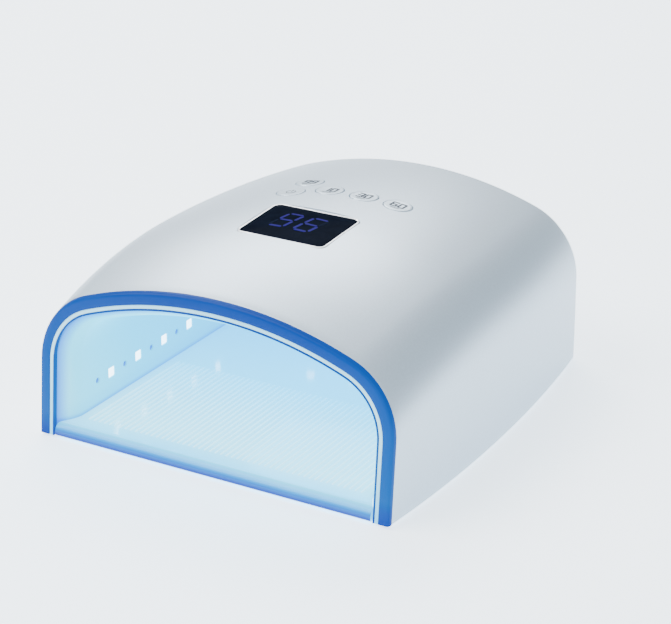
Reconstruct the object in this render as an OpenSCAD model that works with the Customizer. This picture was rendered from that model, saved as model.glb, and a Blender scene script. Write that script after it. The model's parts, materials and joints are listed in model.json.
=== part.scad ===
// Cordless UV LED nail lamp: an arched hood over a pull-out floor tray, lit from the walls, roof and rear.
// Modelled front (-Y) to rear (+Y), standing on its feet at z = 0, centred on x = 0 and on its depth.

/* [Overall size] */
// Depth, from the foot of the light rim to the back of the shell
body_d = 220; // [200:1:264]
// Greatest width of the shell
body_w = 200; // [182:1:240]
// Height from the table to the top of the roof
body_h = 100; // [94:1:120]

/* [Shell form] */
// Distance behind the front where the shell is widest
wide_y = 84; // [70:1:100]
// How much narrower each side is at the front than at the widest place
front_inset = 4.5; // [2:0.5:7]
// How much narrower each side is at the rear than at the widest place
rear_inset = 10; // [6:0.5:12]
// Distance behind the front where the roof is highest
peak_y = 92; // [80:1:110]
// How much lower the roof is at the front rim
front_drop = 14; // [10:0.5:16]
// How much lower the roof is at the rear
rear_drop = 9; // [5:0.5:12]
// Radius of the arched roof across its width
crown_r = 208; // [180:1:260]
// Radius of the shoulders between roof and side walls
shoulder_r = 36; // [28:1:40]
// Radius of the edge around the rear face
rear_round = 10; // [8:0.5:14]
// How far the rear face bows out across its width
rear_bow_w = 5; // [2:0.5:8]
// How far the rear face leans forward at the top
rear_bow_h = 6; // [2:0.5:9]
// How far the top of the front rim leans back
rim_lean = 8; // [4:0.5:12]
// Wall of the shell
shell_t = 2.5; // [2:0.1:3]

/* [Rim and liner] */
// Thickness of the light rim from front to back
rim_t = 2.5; // [2:0.1:3]
// Width of the light rim seen from the front
rim_band = 8.2; // [7:0.1:9]
// Distance from the shell's outside to the groove in the rim
groove_at = 5.4; // [4.5:0.1:6]
// Width of the groove and its diffuser strip
groove_w = 2; // [1.5:0.1:2.2]
// Depth of the groove
groove_deep = 1.4; // [1:0.1:1.6]
// Distance from the shell's outside, at the front, to the inside of the liner
liner_inset = 14.5; // [13:0.1:16]
// Wall of the liner
liner_t = 1.6; // [1.2:0.1:2]
// Length of the flare at the liner's mouth
flare_l = 12; // [8:1:16]
// Depth kept behind the curing space for the battery and the charging inlet
rear_bay = 55; // [54:1:66]
// Radius of the liner's rear corners
liner_round = 16; // [8:1:18]

/* [Frame, feet and tray] */
// Height of the rubber feet below the shell
foot_h = 1.5; // [1:0.1:3]
// Radius of each foot
foot_r = 4.5; // [4:0.1:5]
// Thickness of the bottom frame
frame_t = 2.5; // [2:0.1:3]
// Gap on each side of the tray
tray_gap = 0.4; // [0.3:0.1:0.6]
// Height of the tray's floor above the table
floor_z = 8; // [7:0.1:10]
// Thickness of the tray's floor
floor_t = 2.4; // [2:0.1:3]
// Thickness of the tray's skirts
skirt_t = 2; // [1.6:0.1:3]
// Depth of the rounded lip at the tray's front
lip_d = 9; // [8:0.5:12]
// Height of the ribs on the tray's floor
rib_h = 0.4; // [0.3:0.1:0.6]
// Spacing of the ribs
rib_pitch = 3; // [2.5:0.1:4]
// Length of the ribbed field
rib_l = 78; // [60:1:100]
// Side of each square holding magnet
magnet = 4; // [3:0.1:4.5]

/* [LEDs] */
// Side of a square LED package
led = 5; // [4:0.1:6]
// Height of an LED package over its board
led_h = 1.5; // [1.2:0.1:1.5]
// Diameter of a small round LED
round_led = 3; // [2.4:0.1:3.4]
// Square LEDs in each side row
side_leds = 5; // [4:1:6]
// Distance of the first round LED behind the liner's flare
led_margin = 14; // [12:0.5:20]
// Height of the side rows above the table
led_z = 20.5; // [18:0.5:24]
// Height of the rear row above the table
rear_led_z = 33; // [28:0.5:36]
// Thickness of the LED boards
led_board_t = 1.6; // [1:0.1:2]
// Height of the LED boards across their row
led_board_w = 14; // [12:0.5:16]

/* [Display and buttons] */
// Width of the display window
window_w = 46; // [40:1:50]
// Depth of the display window
window_d = 36; // [30:1:38]
// Distance of the window's centre behind the front
window_y = 84; // [80:1:88]
// Corner radius of the window
window_r = 3; // [2:0.5:5]
// Width of the bright frame around the window
bezel_w = 1.1; // [0.8:0.1:1.5]
// Diameter of a button
button_dia = 14.2; // [12:0.1:14.2]
// Gap around a button
button_gap = 0.3; // [0.2:0.05:0.4]
// Travel of a button
button_travel = 0.6; // [0.4:0.1:0.8]

/* [Power] */
// Diameter of a battery cell
cell_dia = 18.3; // [16:0.1:18.5]
// Length of a battery cell
cell_l = 65; // [60:0.5:66]
// Distance of the cells' centre line behind the liner
cell_back = 17; // [15:0.5:20]
// Radius of the DC inlet's socket
socket_r = 2.75; // [2.5:0.05:3]
// Radius of the DC inlet's centre pin
pin_r = 1.05; // [0.9:0.05:1.25]
// Height of the DC inlet above the table
inlet_z = 22; // [18:1:30]

/* [Hidden] */
BUTTONS = ["10s", "30s", "60s", "99s", "power"];
BUTTON_NODES = [for (b = BUTTONS) str("button_", b)];
PLUNGER_NODES = [for (b = BUTTONS) str("plunger_", b)];

$fn = 48;
eps = 0.01;
wall_n = 2;
shoulder_n = 8;
crown_n = 7;
round_n = 5;
face_steps = [0.66, 0.33];
flare_steps = [0, 0.2, 0.45, 0.7, 1];

front_half_w = body_w / 2 - front_inset;
front_roof = body_h - foot_h - front_drop;
frame_top = foot_h + frame_t;
frame_gap = 0.25;
tray_half_w = front_half_w - liner_inset - tray_gap;
liner_d = body_d - rear_bay;
tray_back = liner_d - 1;
mouth_y = rim_t + 0.1;
frame_front = mouth_y + 0.2;
tray_corner_r = liner_round - 1;
lip_half_w = front_half_w - rim_band - 0.9;
liner_out = front_half_w - liner_inset + liner_t;
liner_roof_r = crown_r - liner_inset;
liner_roof_z = foot_h + front_roof - liner_inset;

magnet_x = [-40, 40];
tray_foot_x = [-60, 60];
tray_foot_y = [24, tray_back - 34];
tray_foot_r = 4;
lip_foot = 2;
lip_round = 5.5;

window_open = [window_w + 2 * bezel_w + 0.3, window_d + 2 * bezel_w + 0.3];
board_t = 1.6;
board_z = liner_roof_z + 10.5;
board_top = board_z + board_t;
board_w = 78;
board_y = [window_y - window_d / 2 - 8, window_y + window_d / 2 + 58];
board_post = [[-34, board_y[0] + 4], [34, board_y[0] + 4], [-34, board_y[1] - 4], [34, board_y[1] - 4]];
button_at = [[-10.7, 132], [8.4, 132.5], [27, 133], [-28.2, 142.4], [-28.2, 123.5]];
cap_proud = 0.3;
flange_r = button_dia / 2 + 1;
flange_t = 1.2;
flange_gap = 0.7;
stem_r = 2.2;
tact = [6, 6, 3.5];
plunger_r = 1.6;
plunger_over = 1;
plunger_in = 1.2;

roof_led_x = 24;
flare_end = mouth_y + flare_l;
roof_led_y = [for (f = [0.33, 0.66]) flare_end + f * (liner_d - liner_round - flare_end)];
led_first = flare_end + led_margin;
led_pitch = (liner_d - liner_round - 6 - led_first) / side_leds;
rear_led_x = [-42, -14, 14, 42];
sensor_y = 30;

boss_r = 3.6;
post_r = 3;
boss_y = [34, 108, body_d - 36];
boss_top = 34;
pilot_r = 1.3;
screw_r = 1.25;
screw_head_r = 2.6;
liner_boss = [7, 9, 7];
liner_boss_y = [60, 140];

bay_y = liner_d + liner_t;
cell_y = bay_y + cell_back;
cell_gap = 0.6;
cell_z = [frame_top + 3 + cell_dia / 2, frame_top + 3 + 1.5 * cell_dia + cell_gap];
charge_board_y = body_d - 15.6;
charge_board_w = 46;
charge_board_z = [frame_top + 0.6, frame_top + 33];
charge_post_x = [-19, 19];
charge_post_z = charge_board_z[1] - 4;
inlet_body = [9, 11.5, 11];
inlet_barrel_r = 4.2;
inlet_end = body_d - 1;
wire_r = 0.8;

// ---------------------------------------------------------------- form

function half_w(y) = y < wide_y
    ? body_w / 2 - front_inset * pow((wide_y - y) / wide_y, 2)
    : body_w / 2 - rear_inset * pow((y - wide_y) / (body_d - wide_y), 2);

function roof_h(y) = y < peak_y
    ? body_h - foot_h - front_drop * pow((peak_y - y) / peak_y, 2)
    : body_h - foot_h - rear_drop * pow((y - peak_y) / (body_d - peak_y), 2);

// Height of the shell's outside over a point of the roof
function roof_z(x, y) = foot_h + roof_h(y) - crown_r + sqrt(crown_r * crown_r - x * x);

// Upright walls, shoulder arcs and a crown arc, from the right foot over the top to the left foot
function arch(w, h, rt, rs, z0) =
    let (
        b = w - rs,
        turn = acos(b / (rt - rs)),
        zc = h - rt + (rt - rs) * sin(turn),
        right = concat(
            [for (i = [0 : wall_n - 1]) [w, z0 + (zc - z0) * i / wall_n]],
            [for (i = [0 : shoulder_n - 1])
                let (a = turn * i / shoulder_n) [b + rs * cos(a), zc + rs * sin(a)]],
            [for (i = [0 : crown_n])
                let (a = turn + (90 - turn) * i / crown_n) [rt * cos(a), h - rt + rt * sin(a)]]
        )
    )
    concat(right, [for (i = [len(right) - 2 : -1 : 0]) [-right[i][0], right[i][1]]]);

// The front leans back with height, and the lean fades out towards the rear
function lean(y, z) = rim_lean * z / front_roof * (1 - y / body_d);
function bow(x, y, z) =
    (rear_bow_w * pow(2 * x / body_w, 2) + rear_bow_h * pow(z / body_h, 2)) * pow(y / body_d, 4);

function shell_ring(y, inset, s = 1) =
    [for (p = arch(half_w(y) - inset, roof_h(y) - inset, crown_r - inset, shoulder_r - inset, 0))
        [s * p[0], y + lean(y, s * p[1]) - bow(s * p[0], y, s * p[1]), foot_h + s * p[1]]];

function steps(from, to, n) = [for (i = [0 : n - 1]) from + (to - from) * i / n];

function shell_rings(t) = concat(
    [for (y = concat(steps(rim_t, wide_y, 4), steps(wide_y, peak_y, 1),
                     steps(peak_y, body_d - rear_round, 6)))
        shell_ring(y, t)],
    [shell_ring(body_d - rear_round, t)],
    [for (i = [1 : round_n]) let (a = 90 * i / round_n)
        shell_ring(body_d - rear_round + (rear_round - t) * sin(a),
                   rear_round - (rear_round - t) * cos(a))],
    [for (s = face_steps) shell_ring(body_d - t, rear_round, s)]
);

function flare(y) = y < mouth_y + flare_l ? pow(1 - (y - mouth_y) / flare_l, 1.6) : 0;

function liner_ring(y, inset) =
    let (i = liner_inset + inset - (liner_inset - rim_band - 0.2) * flare(y))
    [for (p = arch(front_half_w - i, front_roof - i, crown_r - i, shoulder_r - i, frame_t))
        [p[0], y + lean(y, p[1]) * (1 - (y - mouth_y) / (liner_d - mouth_y)), foot_h + p[1]]];

function liner_rings(t) = concat(
    [for (u = flare_steps) liner_ring(mouth_y + flare_l * u, t)],
    [for (i = [1 : 3])
        liner_ring(mouth_y + flare_l + (liner_d - liner_round - mouth_y - flare_l) * i / 3, t)],
    [for (i = [1 : round_n]) let (a = 90 * i / round_n)
        liner_ring(liner_d - liner_round + (liner_round - t) * sin(a),
                   liner_round - (liner_round - t) * cos(a))]
);

function mirrored(side) = [for (i = [len(side) - 1 : -1 : 0]) [-side[i][0], side[i][1]]];
function flatten(rows) = [for (row = rows) for (p = row) p];
function quad(a, b, c, d) = [[a, b, c], [a, c, d]];

// Closed skin between two sets of rings, open at the front and underneath
module hood(outer, inner, outer_tip, inner_tip) {
    m = len(outer[0]);
    k = len(outer);
    tip = 2 * m * k;
    function o(i, j) = i * m + j;
    function n(i, j) = (k + i) * m + j;
    skins = [for (i = [0 : k - 2]) for (j = [0 : m - 2])
        each concat(quad(o(i, j), o(i, j + 1), o(i + 1, j + 1), o(i + 1, j)),
                    quad(n(i, j), n(i + 1, j), n(i + 1, j + 1), n(i, j + 1)))];
    front = [for (j = [0 : m - 2]) each quad(o(0, j), n(0, j), n(0, j + 1), o(0, j + 1))];
    base = [for (i = [0 : k - 2])
        each concat(quad(n(i, 0), o(i, 0), o(i + 1, 0), n(i + 1, 0)),
                    quad(o(i, m - 1), n(i, m - 1), n(i + 1, m - 1), o(i + 1, m - 1)))];
    rear = [for (j = [0 : m - 2])
        each [[o(k - 1, j), o(k - 1, j + 1), tip], [tip + 1, n(k - 1, j + 1), n(k - 1, j)]]];
    ends = concat(quad(n(k - 1, 0), o(k - 1, 0), tip, tip + 1),
                  quad(o(k - 1, m - 1), n(k - 1, m - 1), tip + 1, tip));
    polyhedron(points = concat(flatten(outer), flatten(inner), [outer_tip, inner_tip]),
               faces = concat(skins, front, base, rear, ends));
}

// A band along the front arch: profile is a clockwise list of [distance in from the shell's outside, y]
module arch_band(profile) {
    rings = [for (p = profile) shell_ring(p[1], p[0])];
    m = len(rings[0]);
    k = len(profile);
    sides = [for (i = [0 : k - 1]) for (j = [0 : m - 2]) let (q = (i + 1) % k)
        each quad(i * m + j, i * m + j + 1, q * m + j + 1, q * m + j)];
    right_foot = [for (i = [0 : k - 1]) i * m];
    left_foot = [for (i = [k - 1 : -1 : 0]) i * m + m - 1];
    polyhedron(points = flatten(rings), faces = concat(sides, [right_foot, left_foot]));
}

module from_front() {
    translate([0, -body_d / 2, 0])
        children();
}

module box(low, high) {
    translate(low)
        cube(high - low);
}

module rounded_plate(size, r, h) {
    linear_extrude(h)
        union() {
            square([size[0] - 2 * r, size[1]], center = true);
            square([size[0], size[1] - 2 * r], center = true);
            for (x = [-1, 1], y = [-1, 1])
                translate([x * (size[0] / 2 - r), y * (size[1] / 2 - r)])
                    circle(r);
        }
}

// Space between two levels over or under the roof, near the display
module roof_layer(low, high) {
    y1 = window_y - window_d / 2;
    y2 = window_y + window_d / 2;
    slope = atan((roof_h(y2) - roof_h(y1)) / (y2 - y1));
    top = foot_h + (roof_h(y1) + roof_h(y2)) / 2;
    translate([0, window_y, top])
        rotate([slope, 0, 0])
            translate([0, 0, -crown_r])
                rotate([90, 0, 0])
                    difference() {
                        cylinder(h = window_d + 20, r = crown_r + high, center = true, $fn = 180);
                        cylinder(h = window_d + 22, r = crown_r + low, center = true, $fn = 180);
                    }
}

module screw(length) {
    cylinder(h = length, r = screw_r);
    translate([0, 0, -1.6])
        difference() {
            cylinder(h = 1.6, r = screw_head_r);
            for (a = [0, 90])
                rotate([0, 0, a])
                    translate([-1.6, -0.3, -eps])
                        cube([3.2, 0.6, 0.8]);
        }
}

function unit(v) = v / norm(v);

// Tube of radius r swept along a list of points that never run along the given side direction
module wire(path, r, side) {
    m = 8;
    k = len(path);
    points = [for (i = [0 : k - 1])
        let (t = unit(path[min(i + 1, k - 1)] - path[max(i - 1, 0)]),
             u = unit(cross(side, t)),
             v = cross(t, u))
        for (j = [0 : m - 1]) path[i] + r * (cos(360 * j / m) * u + sin(360 * j / m) * v)];
    sides = [for (i = [0 : k - 2]) for (j = [0 : m - 1]) let (q = (j + 1) % m)
        each quad(i * m + j, (i + 1) * m + j, (i + 1) * m + q, i * m + q)];
    start = [for (j = [0 : m - 1]) j];
    end = [for (j = [m - 1 : -1 : 0]) (k - 1) * m + j];
    polyhedron(points = points, faces = concat(sides, [start], [end]));
}

// ---------------------------------------------------------------- shell, rim and liner

// Outside of the wall near the floor, where the rear bow has pulled the wall forward
function wall_x(y) = half_w(y + rear_bow_w * pow(y / body_d, 4));
function boss_x(y) = wall_x(y) - shell_t - boss_r + 0.7;

module outer_shell() {
    color([0.80, 0.81, 0.85])
        from_front()
            difference() {
                union() {
                    hood(shell_rings(0), shell_rings(shell_t),
                         [0, body_d, foot_h], [0, body_d - shell_t, foot_h]);
                    for (s = [-1, 1], y = boss_y)
                        translate([s * boss_x(y), y, frame_top])
                            cylinder(h = boss_top - frame_top, r = boss_r);
                    for (p = board_post)
                        translate([p[0], p[1], board_top])
                            cylinder(h = roof_z(p[0], p[1]) - board_top - 1.8, r = post_r);
                    for (x = charge_post_x)
                        translate([x, charge_board_y, charge_post_z])
                            rotate([-90, 0, 0])
                                cylinder(h = body_d - shell_t - charge_board_y, r = post_r);
                }
                for (s = [-1, 1], y = boss_y)
                    translate([s * boss_x(y), y, frame_top - eps])
                        cylinder(h = 14, r = pilot_r);
                for (p = board_post)
                    translate([p[0], p[1], board_top - eps])
                        cylinder(h = 8, r = pilot_r);
                translate([0, window_y, body_h - 20])
                    rounded_plate(window_open, window_r + bezel_w, 30);
                for (b = button_at)
                    translate([b[0], b[1], body_h - 20])
                        cylinder(h = 30, r = button_dia / 2 + button_gap);
                translate([0, body_d - 15, inlet_z])
                    rotate([-90, 0, 0])
                        cylinder(h = 20, r = inlet_barrel_r + 0.2);
                for (x = charge_post_x)
                    translate([x, charge_board_y - eps, charge_post_z])
                        rotate([-90, 0, 0])
                            cylinder(h = 7, r = pilot_r);
            }
}

module light_rim() {
    groove_end = groove_at + groove_w;
    color([0.10, 0.30, 0.85])
        from_front()
            arch_band([[0, 0.9], [0.9, 0], [groove_at, 0], [groove_at, groove_deep],
                       [groove_end, groove_deep], [groove_end, 0], [rim_band, 0], [rim_band, rim_t],
                       [0, rim_t]]);
}

module rim_diffuser() {
    color([0.80, 0.95, 1.0])
        from_front()
            arch_band([[groove_at + 0.05, 0.3], [groove_at + groove_w - 0.05, 0.3],
                       [groove_at + groove_w - 0.05, groove_deep - 0.02],
                       [groove_at + 0.05, groove_deep - 0.02]]);
}

module liner_windows() {
    reach = led_h + 1;
    for (s = [-1, 1]) {
        for (i = [0 : side_leds - 1])
            translate([s * liner_out, led_first + led_pitch * (i + 0.5), led_z])
                cube([2 * reach, led + 0.4, led + 0.4], center = true);
        for (i = [0 : side_leds])
            translate([s * liner_out, led_first + led_pitch * i, led_z])
                rotate([0, 90, 0])
                    cylinder(h = 2 * reach, r = round_led / 2 + 0.2, center = true);
    }
    for (x = rear_led_x)
        translate([x, bay_y, rear_led_z])
            cube([led + 0.4, 2 * reach, led + 0.4], center = true);
    for (s = [-1, 1], y = roof_led_y)
        roof_place(s, y)
            cube([led + 0.4, led + 0.4, 2 * reach + 1], center = true);
    for (s = [-1, 1])
        translate([5 * s, sensor_y, liner_roof_z - 4])
            cylinder(h = 8, r = 1.7);
}

// Moves something to the liner's outside roof, square to it, on the left or right row
module roof_place(s, y) {
    a = asin(roof_led_x / (liner_roof_r + liner_t));
    translate([0, y, liner_roof_z - liner_roof_r])
        rotate([0, s * a, 0])
            translate([0, 0, liner_roof_r + liner_t])
                children();
}

module inner_liner() {
    color([0.86, 0.95, 1.0])
        from_front()
            difference() {
                union() {
                    hood(liner_rings(-liner_t), liner_rings(0),
                         [0, bay_y, frame_top], [0, liner_d, frame_top]);
                    for (s = [-1, 1], y = liner_boss_y)
                        translate([s * (liner_out - 0.5 + liner_boss[0] / 2), y,
                                   frame_top + liner_boss[2] / 2])
                            cube(liner_boss, center = true);
                }
                liner_windows();
                for (s = [-1, 1], y = liner_boss_y)
                    translate([s * (liner_out + liner_boss[0] / 2), y, frame_top - eps])
                        cylinder(h = 5.5, r = pilot_r);
            }
}

// ---------------------------------------------------------------- bottom frame, feet and tray

foot_y = [mouth_y + flare_l + foot_r + 4, body_d - 24];
foot_at = [for (s = [-1, 1], y = foot_y) [s, y]];
function foot_x(y) = half_w(y) - shell_t - foot_r - 2.5;

module bottom_frame() {
    inset = shell_t + frame_gap;
    corner = shell_ring(frame_front, inset)[0];
    rings = shell_rings(inset);
    edge = concat([[corner[0], frame_front]],
                  [for (r = rings) if (r[0][1] > frame_front) [r[0][0], r[0][1]]]);
    outline = concat(edge, [[0, body_d - inset]], mirrored(edge));
    color([0.75, 0.76, 0.78])
        from_front()
            difference() {
                translate([0, 0, foot_h])
                    linear_extrude(frame_t)
                        polygon(outline);
                linear_extrude(20)
                    tray_outline(-tray_gap - 0.2);
                for (f = foot_at)
                    translate([f[0] * foot_x(f[1]), f[1], 0])
                        cylinder(h = foot_h + 1, r = foot_r + 0.1);
                for (s = [-1, 1], y = boss_y)
                    translate([s * boss_x(y), y, 0]) {
                        cylinder(h = 10, r = pilot_r + 0.2);
                        cylinder(h = foot_h + 1.7, r = screw_head_r + 0.2);
                    }
                for (s = [-1, 1], y = liner_boss_y)
                    translate([s * (liner_out + liner_boss[0] / 2), y, 0]) {
                        cylinder(h = 10, r = pilot_r + 0.2);
                        cylinder(h = foot_h + 1.7, r = screw_head_r + 0.2);
                    }
                for (x = magnet_x)
                    box([x - 8.1, tray_back, foot_h + 0.4], [x + 8.1, tray_back + 1.4, 20]);
            }
}

module rubber_feet() {
    color([0.12, 0.12, 0.13])
        from_front()
            for (f = foot_at)
                translate([f[0] * foot_x(f[1]), f[1], 0])
                    cylinder(h = foot_h + 1, r = foot_r);
}

// Plan of the tray: it tapers with the liner's flare and follows the liner's rear corners
module tray_outline(inset = 0) {
    w = tray_half_w - inset;
    flare_w = lip_half_w - tray_half_w;
    r = tray_corner_r - inset;
    right = concat(
        [[w + flare_w, 0], [w + flare_w, mouth_y]],
        [for (u = flare_steps) if (u > 0)
            [w + flare_w * flare(mouth_y + flare_l * u), mouth_y + flare_l * u]],
        [for (i = [0 : round_n]) let (a = 90 * i / round_n)
            [tray_half_w - tray_corner_r + r * cos(a), tray_back - tray_corner_r + r * sin(a)]]
    );
    polygon(concat(right, mirrored(right)));
}

// Side view of the tray with its rounded front lip, as [y, z] points
function lip_profile() = let (rise = floor_z - foot_h - lip_foot) concat(
    [for (a = [0 : 15 : 90]) [lip_round * (1 - cos(a)), foot_h + lip_foot + rise * sin(a)]],
    [[tray_back + 1, floor_z], [tray_back + 1, foot_h], [1, foot_h], [0, foot_h + 1]]
);

module tray_pillars(r) {
    for (x = tray_foot_x, y = tray_foot_y)
        translate([x, y, 0])
            cylinder(h = floor_z - 1, r = r);
}

module base_tray() {
    color([0.82, 0.93, 1.0])
        from_front()
            difference() {
                union() {
                    intersection() {
                        linear_extrude(20)
                            tray_outline();
                        rotate([90, 0, 90])
                            linear_extrude(body_w, center = true)
                                polygon(lip_profile());
                    }
                    rotate([90, 0, 0])
                        translate([0, 0, -lip_d - 3 - rib_l])
                            linear_extrude(rib_l)
                                rib_comb();
                }
                difference() {
                    linear_extrude(floor_z - floor_t)
                        tray_outline(skirt_t);
                    box([-body_w, -10, -1], [body_w, lip_d, 20]);
                    for (x = magnet_x)
                        box([x - 8, tray_back - magnet - 1.5, -1], [x + 8, tray_back, 20]);
                    tray_pillars(foot_r + 1);
                }
                for (x = magnet_x)
                    box([x - magnet - 0.1, tray_back - magnet, foot_h + 0.4],
                        [x + magnet + 0.1, tray_back + 1, foot_h + 0.6 + magnet]);
                for (x = tray_foot_x, y = tray_foot_y)
                    translate([x, y, 0])
                        cylinder(h = foot_h + 1, r = tray_foot_r + 0.1);
            }
}

module rib_comb() {
    n = floor((tray_half_w - 4) / rib_pitch);
    teeth = [for (i = [-n : n]) let (x = i * rib_pitch)
        each [[x - 0.5, floor_z], [x - 0.3, floor_z + rib_h],
              [x + 0.3, floor_z + rib_h], [x + 0.5, floor_z]]];
    polygon(concat([[-n * rib_pitch - 1, floor_z - 1]], teeth, [[n * rib_pitch + 1, floor_z - 1]]));
}

module tray_feet() {
    color([0.85, 0.86, 0.88])
        from_front()
            for (x = tray_foot_x, y = tray_foot_y)
                translate([x, y, 0])
                    cylinder(h = foot_h + 1, r = tray_foot_r);
}

module tray_magnets() {
    color([0.6, 0.6, 0.62])
        from_front()
            for (x = magnet_x)
                box([x - magnet, tray_back - magnet, foot_h + 0.5],
                    [x + magnet, tray_back, foot_h + 0.5 + magnet]);
}

module catch_plates() {
    color([0.55, 0.56, 0.58])
        from_front()
            for (x = magnet_x)
                box([x - 8, tray_back + 0.4, foot_h + 0.4], [x + 8, tray_back + 1.4, frame_top]);
}

// ---------------------------------------------------------------- display, board and buttons

module display_bezel() {
    size = [window_w + 2 * bezel_w, window_d + 2 * bezel_w];
    color([0.93, 0.94, 0.96])
        from_front()
            intersection() {
                roof_layer(-3.4, 0.4);
                translate([0, window_y, body_h - 12])
                    difference() {
                        rounded_plate(size, window_r + bezel_w, 24);
                        translate([0, 0, -1])
                            rounded_plate([window_w + 0.2, window_d + 0.2], window_r, 26);
                    }
            }
}

module display_window() {
    color([0.03, 0.04, 0.07])
        from_front()
            intersection() {
                roof_layer(-2.2, 0.15);
                translate([0, window_y, body_h - 12])
                    rounded_plate([window_w, window_d], window_r, 24);
            }
}

module_size = [40, 28];

module display_module() {
    top = roof_z(module_size[0] / 2, window_y - window_d / 2) - 3.6;
    color([0.08, 0.08, 0.1])
        from_front()
            box([-module_size[0] / 2, window_y - module_size[1] / 2, board_top],
                [module_size[0] / 2, window_y + module_size[1] / 2, top]);
}

module control_board() {
    color([0.05, 0.35, 0.18])
        from_front()
            difference() {
                box([-board_w / 2, board_y[0], board_z], [board_w / 2, board_y[1], board_top]);
                for (p = board_post)
                    translate([p[0], p[1], board_z - 1])
                        cylinder(h = board_t + 2, r = pilot_r + 0.2);
            }
}

module tact_switches() {
    color([0.15, 0.15, 0.16])
        from_front()
            for (b = button_at)
                difference() {
                    translate([b[0] - tact[0] / 2, b[1] - tact[1] / 2, board_top])
                        cube(tact);
                    translate([b[0], b[1], board_top + tact[2] - plunger_in - button_travel - 0.4])
                        cylinder(h = 10, r = plunger_r + 0.1);
                }
}

// Bottom of the stem and top of the plunger
plunger_top = board_top + tact[2] + plunger_over;

module button_cap(i) {
    x = button_at[i][0];
    y = button_at[i][1];
    top = roof_z(x, y);
    flange_top = roof_z(abs(x) + 0.75 * flange_r, y + 0.75 * flange_r) - shell_t - flange_gap;
    side_tilt = asin(x / crown_r);
    rear_tilt = atan((roof_h(y + 1) - roof_h(y - 1)) / 2);
    color([0.82, 0.83, 0.86])
        from_front()
            difference() {
                union() {
                    translate([x, y, flange_top - 0.5])
                        cylinder(h = top + 6 - flange_top, r = button_dia / 2);
                    translate([x, y, flange_top - flange_t])
                        cylinder(h = flange_t, r = flange_r);
                    translate([x, y, plunger_top])
                        cylinder(h = flange_top - flange_t - plunger_top + 0.5, r = stem_r);
                }
                translate([x, y, top + cap_proud])
                    rotate([rear_tilt, side_tilt, 0])
                        translate([-10, -10, 0])
                            cube([20, 20, 12]);
            }
}

module plunger(i) {
    color([0.9, 0.9, 0.9])
        from_front()
            translate([button_at[i][0], button_at[i][1], plunger_top - plunger_over - plunger_in])
                cylinder(h = plunger_over + plunger_in, r = plunger_r);
}

// ---------------------------------------------------------------- LEDs

side_board_y = [led_first - 8, led_first + led_pitch * side_leds + 8];

module side_board(s) {
    x = s * (liner_out + led_board_t / 2);
    color([0.92, 0.93, 0.92])
        from_front()
            box([x - led_board_t / 2, side_board_y[0], led_z - led_board_w / 2],
                [x + led_board_t / 2, side_board_y[1], led_z + led_board_w / 2]);
}

module led_board_rear() {
    reach = rear_led_x[3] + 8;
    color([0.92, 0.93, 0.92])
        from_front()
            box([-reach, bay_y, rear_led_z - led_board_w / 2],
                [reach, bay_y + led_board_t, rear_led_z + led_board_w / 2]);
}

module roof_board(s) {
    length = roof_led_y[1] - roof_led_y[0] + 20;
    color([0.92, 0.93, 0.92])
        from_front()
            roof_place(s, (roof_led_y[0] + roof_led_y[1]) / 2)
                translate([-led_board_w / 2, -length / 2, 0])
                    cube([led_board_w, length, led_board_t]);
}

module side_square_leds(s) {
    color([1, 1, 0.95])
        from_front()
            for (i = [0 : side_leds - 1])
                translate([s * (liner_out - led_h / 2), led_first + led_pitch * (i + 0.5), led_z])
                    cube([led_h, led, led], center = true);
}

module side_round_leds(s) {
    color([0.1, 0.35, 0.75])
        from_front()
            for (i = [0 : side_leds])
                translate([s * (liner_out - led_h / 2), led_first + led_pitch * i, led_z])
                    rotate([0, 90, 0])
                        cylinder(h = led_h, r = round_led / 2, center = true);
}

module square_leds_rear() {
    color([1, 1, 0.95])
        from_front()
            for (x = rear_led_x)
                translate([x, bay_y - led_h / 2, rear_led_z])
                    cube([led, led_h, led], center = true);
}

module square_leds_roof() {
    color([1, 1, 0.95])
        from_front()
            for (s = [-1, 1], y = roof_led_y)
                roof_place(s, y)
                    translate([0, 0, -led_h / 2])
                        cube([led, led, led_h], center = true);
}

// Infrared emitter and receiver that see the hand, on a small carrier over the liner
module hand_sensor() {
    carrier_z = liner_roof_z + liner_t + 0.2;
    color([0.07, 0.06, 0.08])
        from_front()
            union() {
                for (s = [-1, 1])
                    translate([5 * s, sensor_y, liner_roof_z - 0.4])
                        cylinder(h = 5.4, r = 1.5);
                box([-9, sensor_y - 4, carrier_z], [9, sensor_y + 4, carrier_z + 2]);
            }
}

// ---------------------------------------------------------------- battery and charging

module battery_cells() {
    color([0.20, 0.45, 0.75])
        from_front()
            for (s = [-1, 1], z = cell_z)
                translate([s * (cell_l / 2 + 1), cell_y, z])
                    rotate([0, 90, 0])
                        cylinder(h = cell_l, r = cell_dia / 2, center = true);
}

module cell_tabs() {
    color([0.75, 0.75, 0.72])
        from_front()
            for (s = [-1, 1])
                box([s * (cell_l + 1.15) - 0.15, cell_y - 4, cell_z[0] - 4],
                    [s * (cell_l + 1.15) + 0.15, cell_y + 4, cell_z[1] + 4]);
}

cradle_half_l = cell_l + 1 + 0.6;
cradle_t = 2;

module battery_cradle() {
    half_d = cell_dia / 2 + 0.3;
    color([0.16, 0.16, 0.18])
        from_front()
            difference() {
                box([-cradle_half_l - cradle_t, cell_y - half_d - cradle_t, frame_top],
                    [cradle_half_l + cradle_t, cell_y + half_d + cradle_t, cell_z[1] - 2]);
                for (z = cell_z)
                    translate([0, cell_y, z])
                        rotate([0, 90, 0])
                            cylinder(h = 2 * cradle_half_l, r = half_d, center = true);
                box([-cradle_half_l, cell_y - half_d, cell_z[0]],
                    [cradle_half_l, cell_y + half_d, cell_z[1] + 30]);
            }
}

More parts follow.
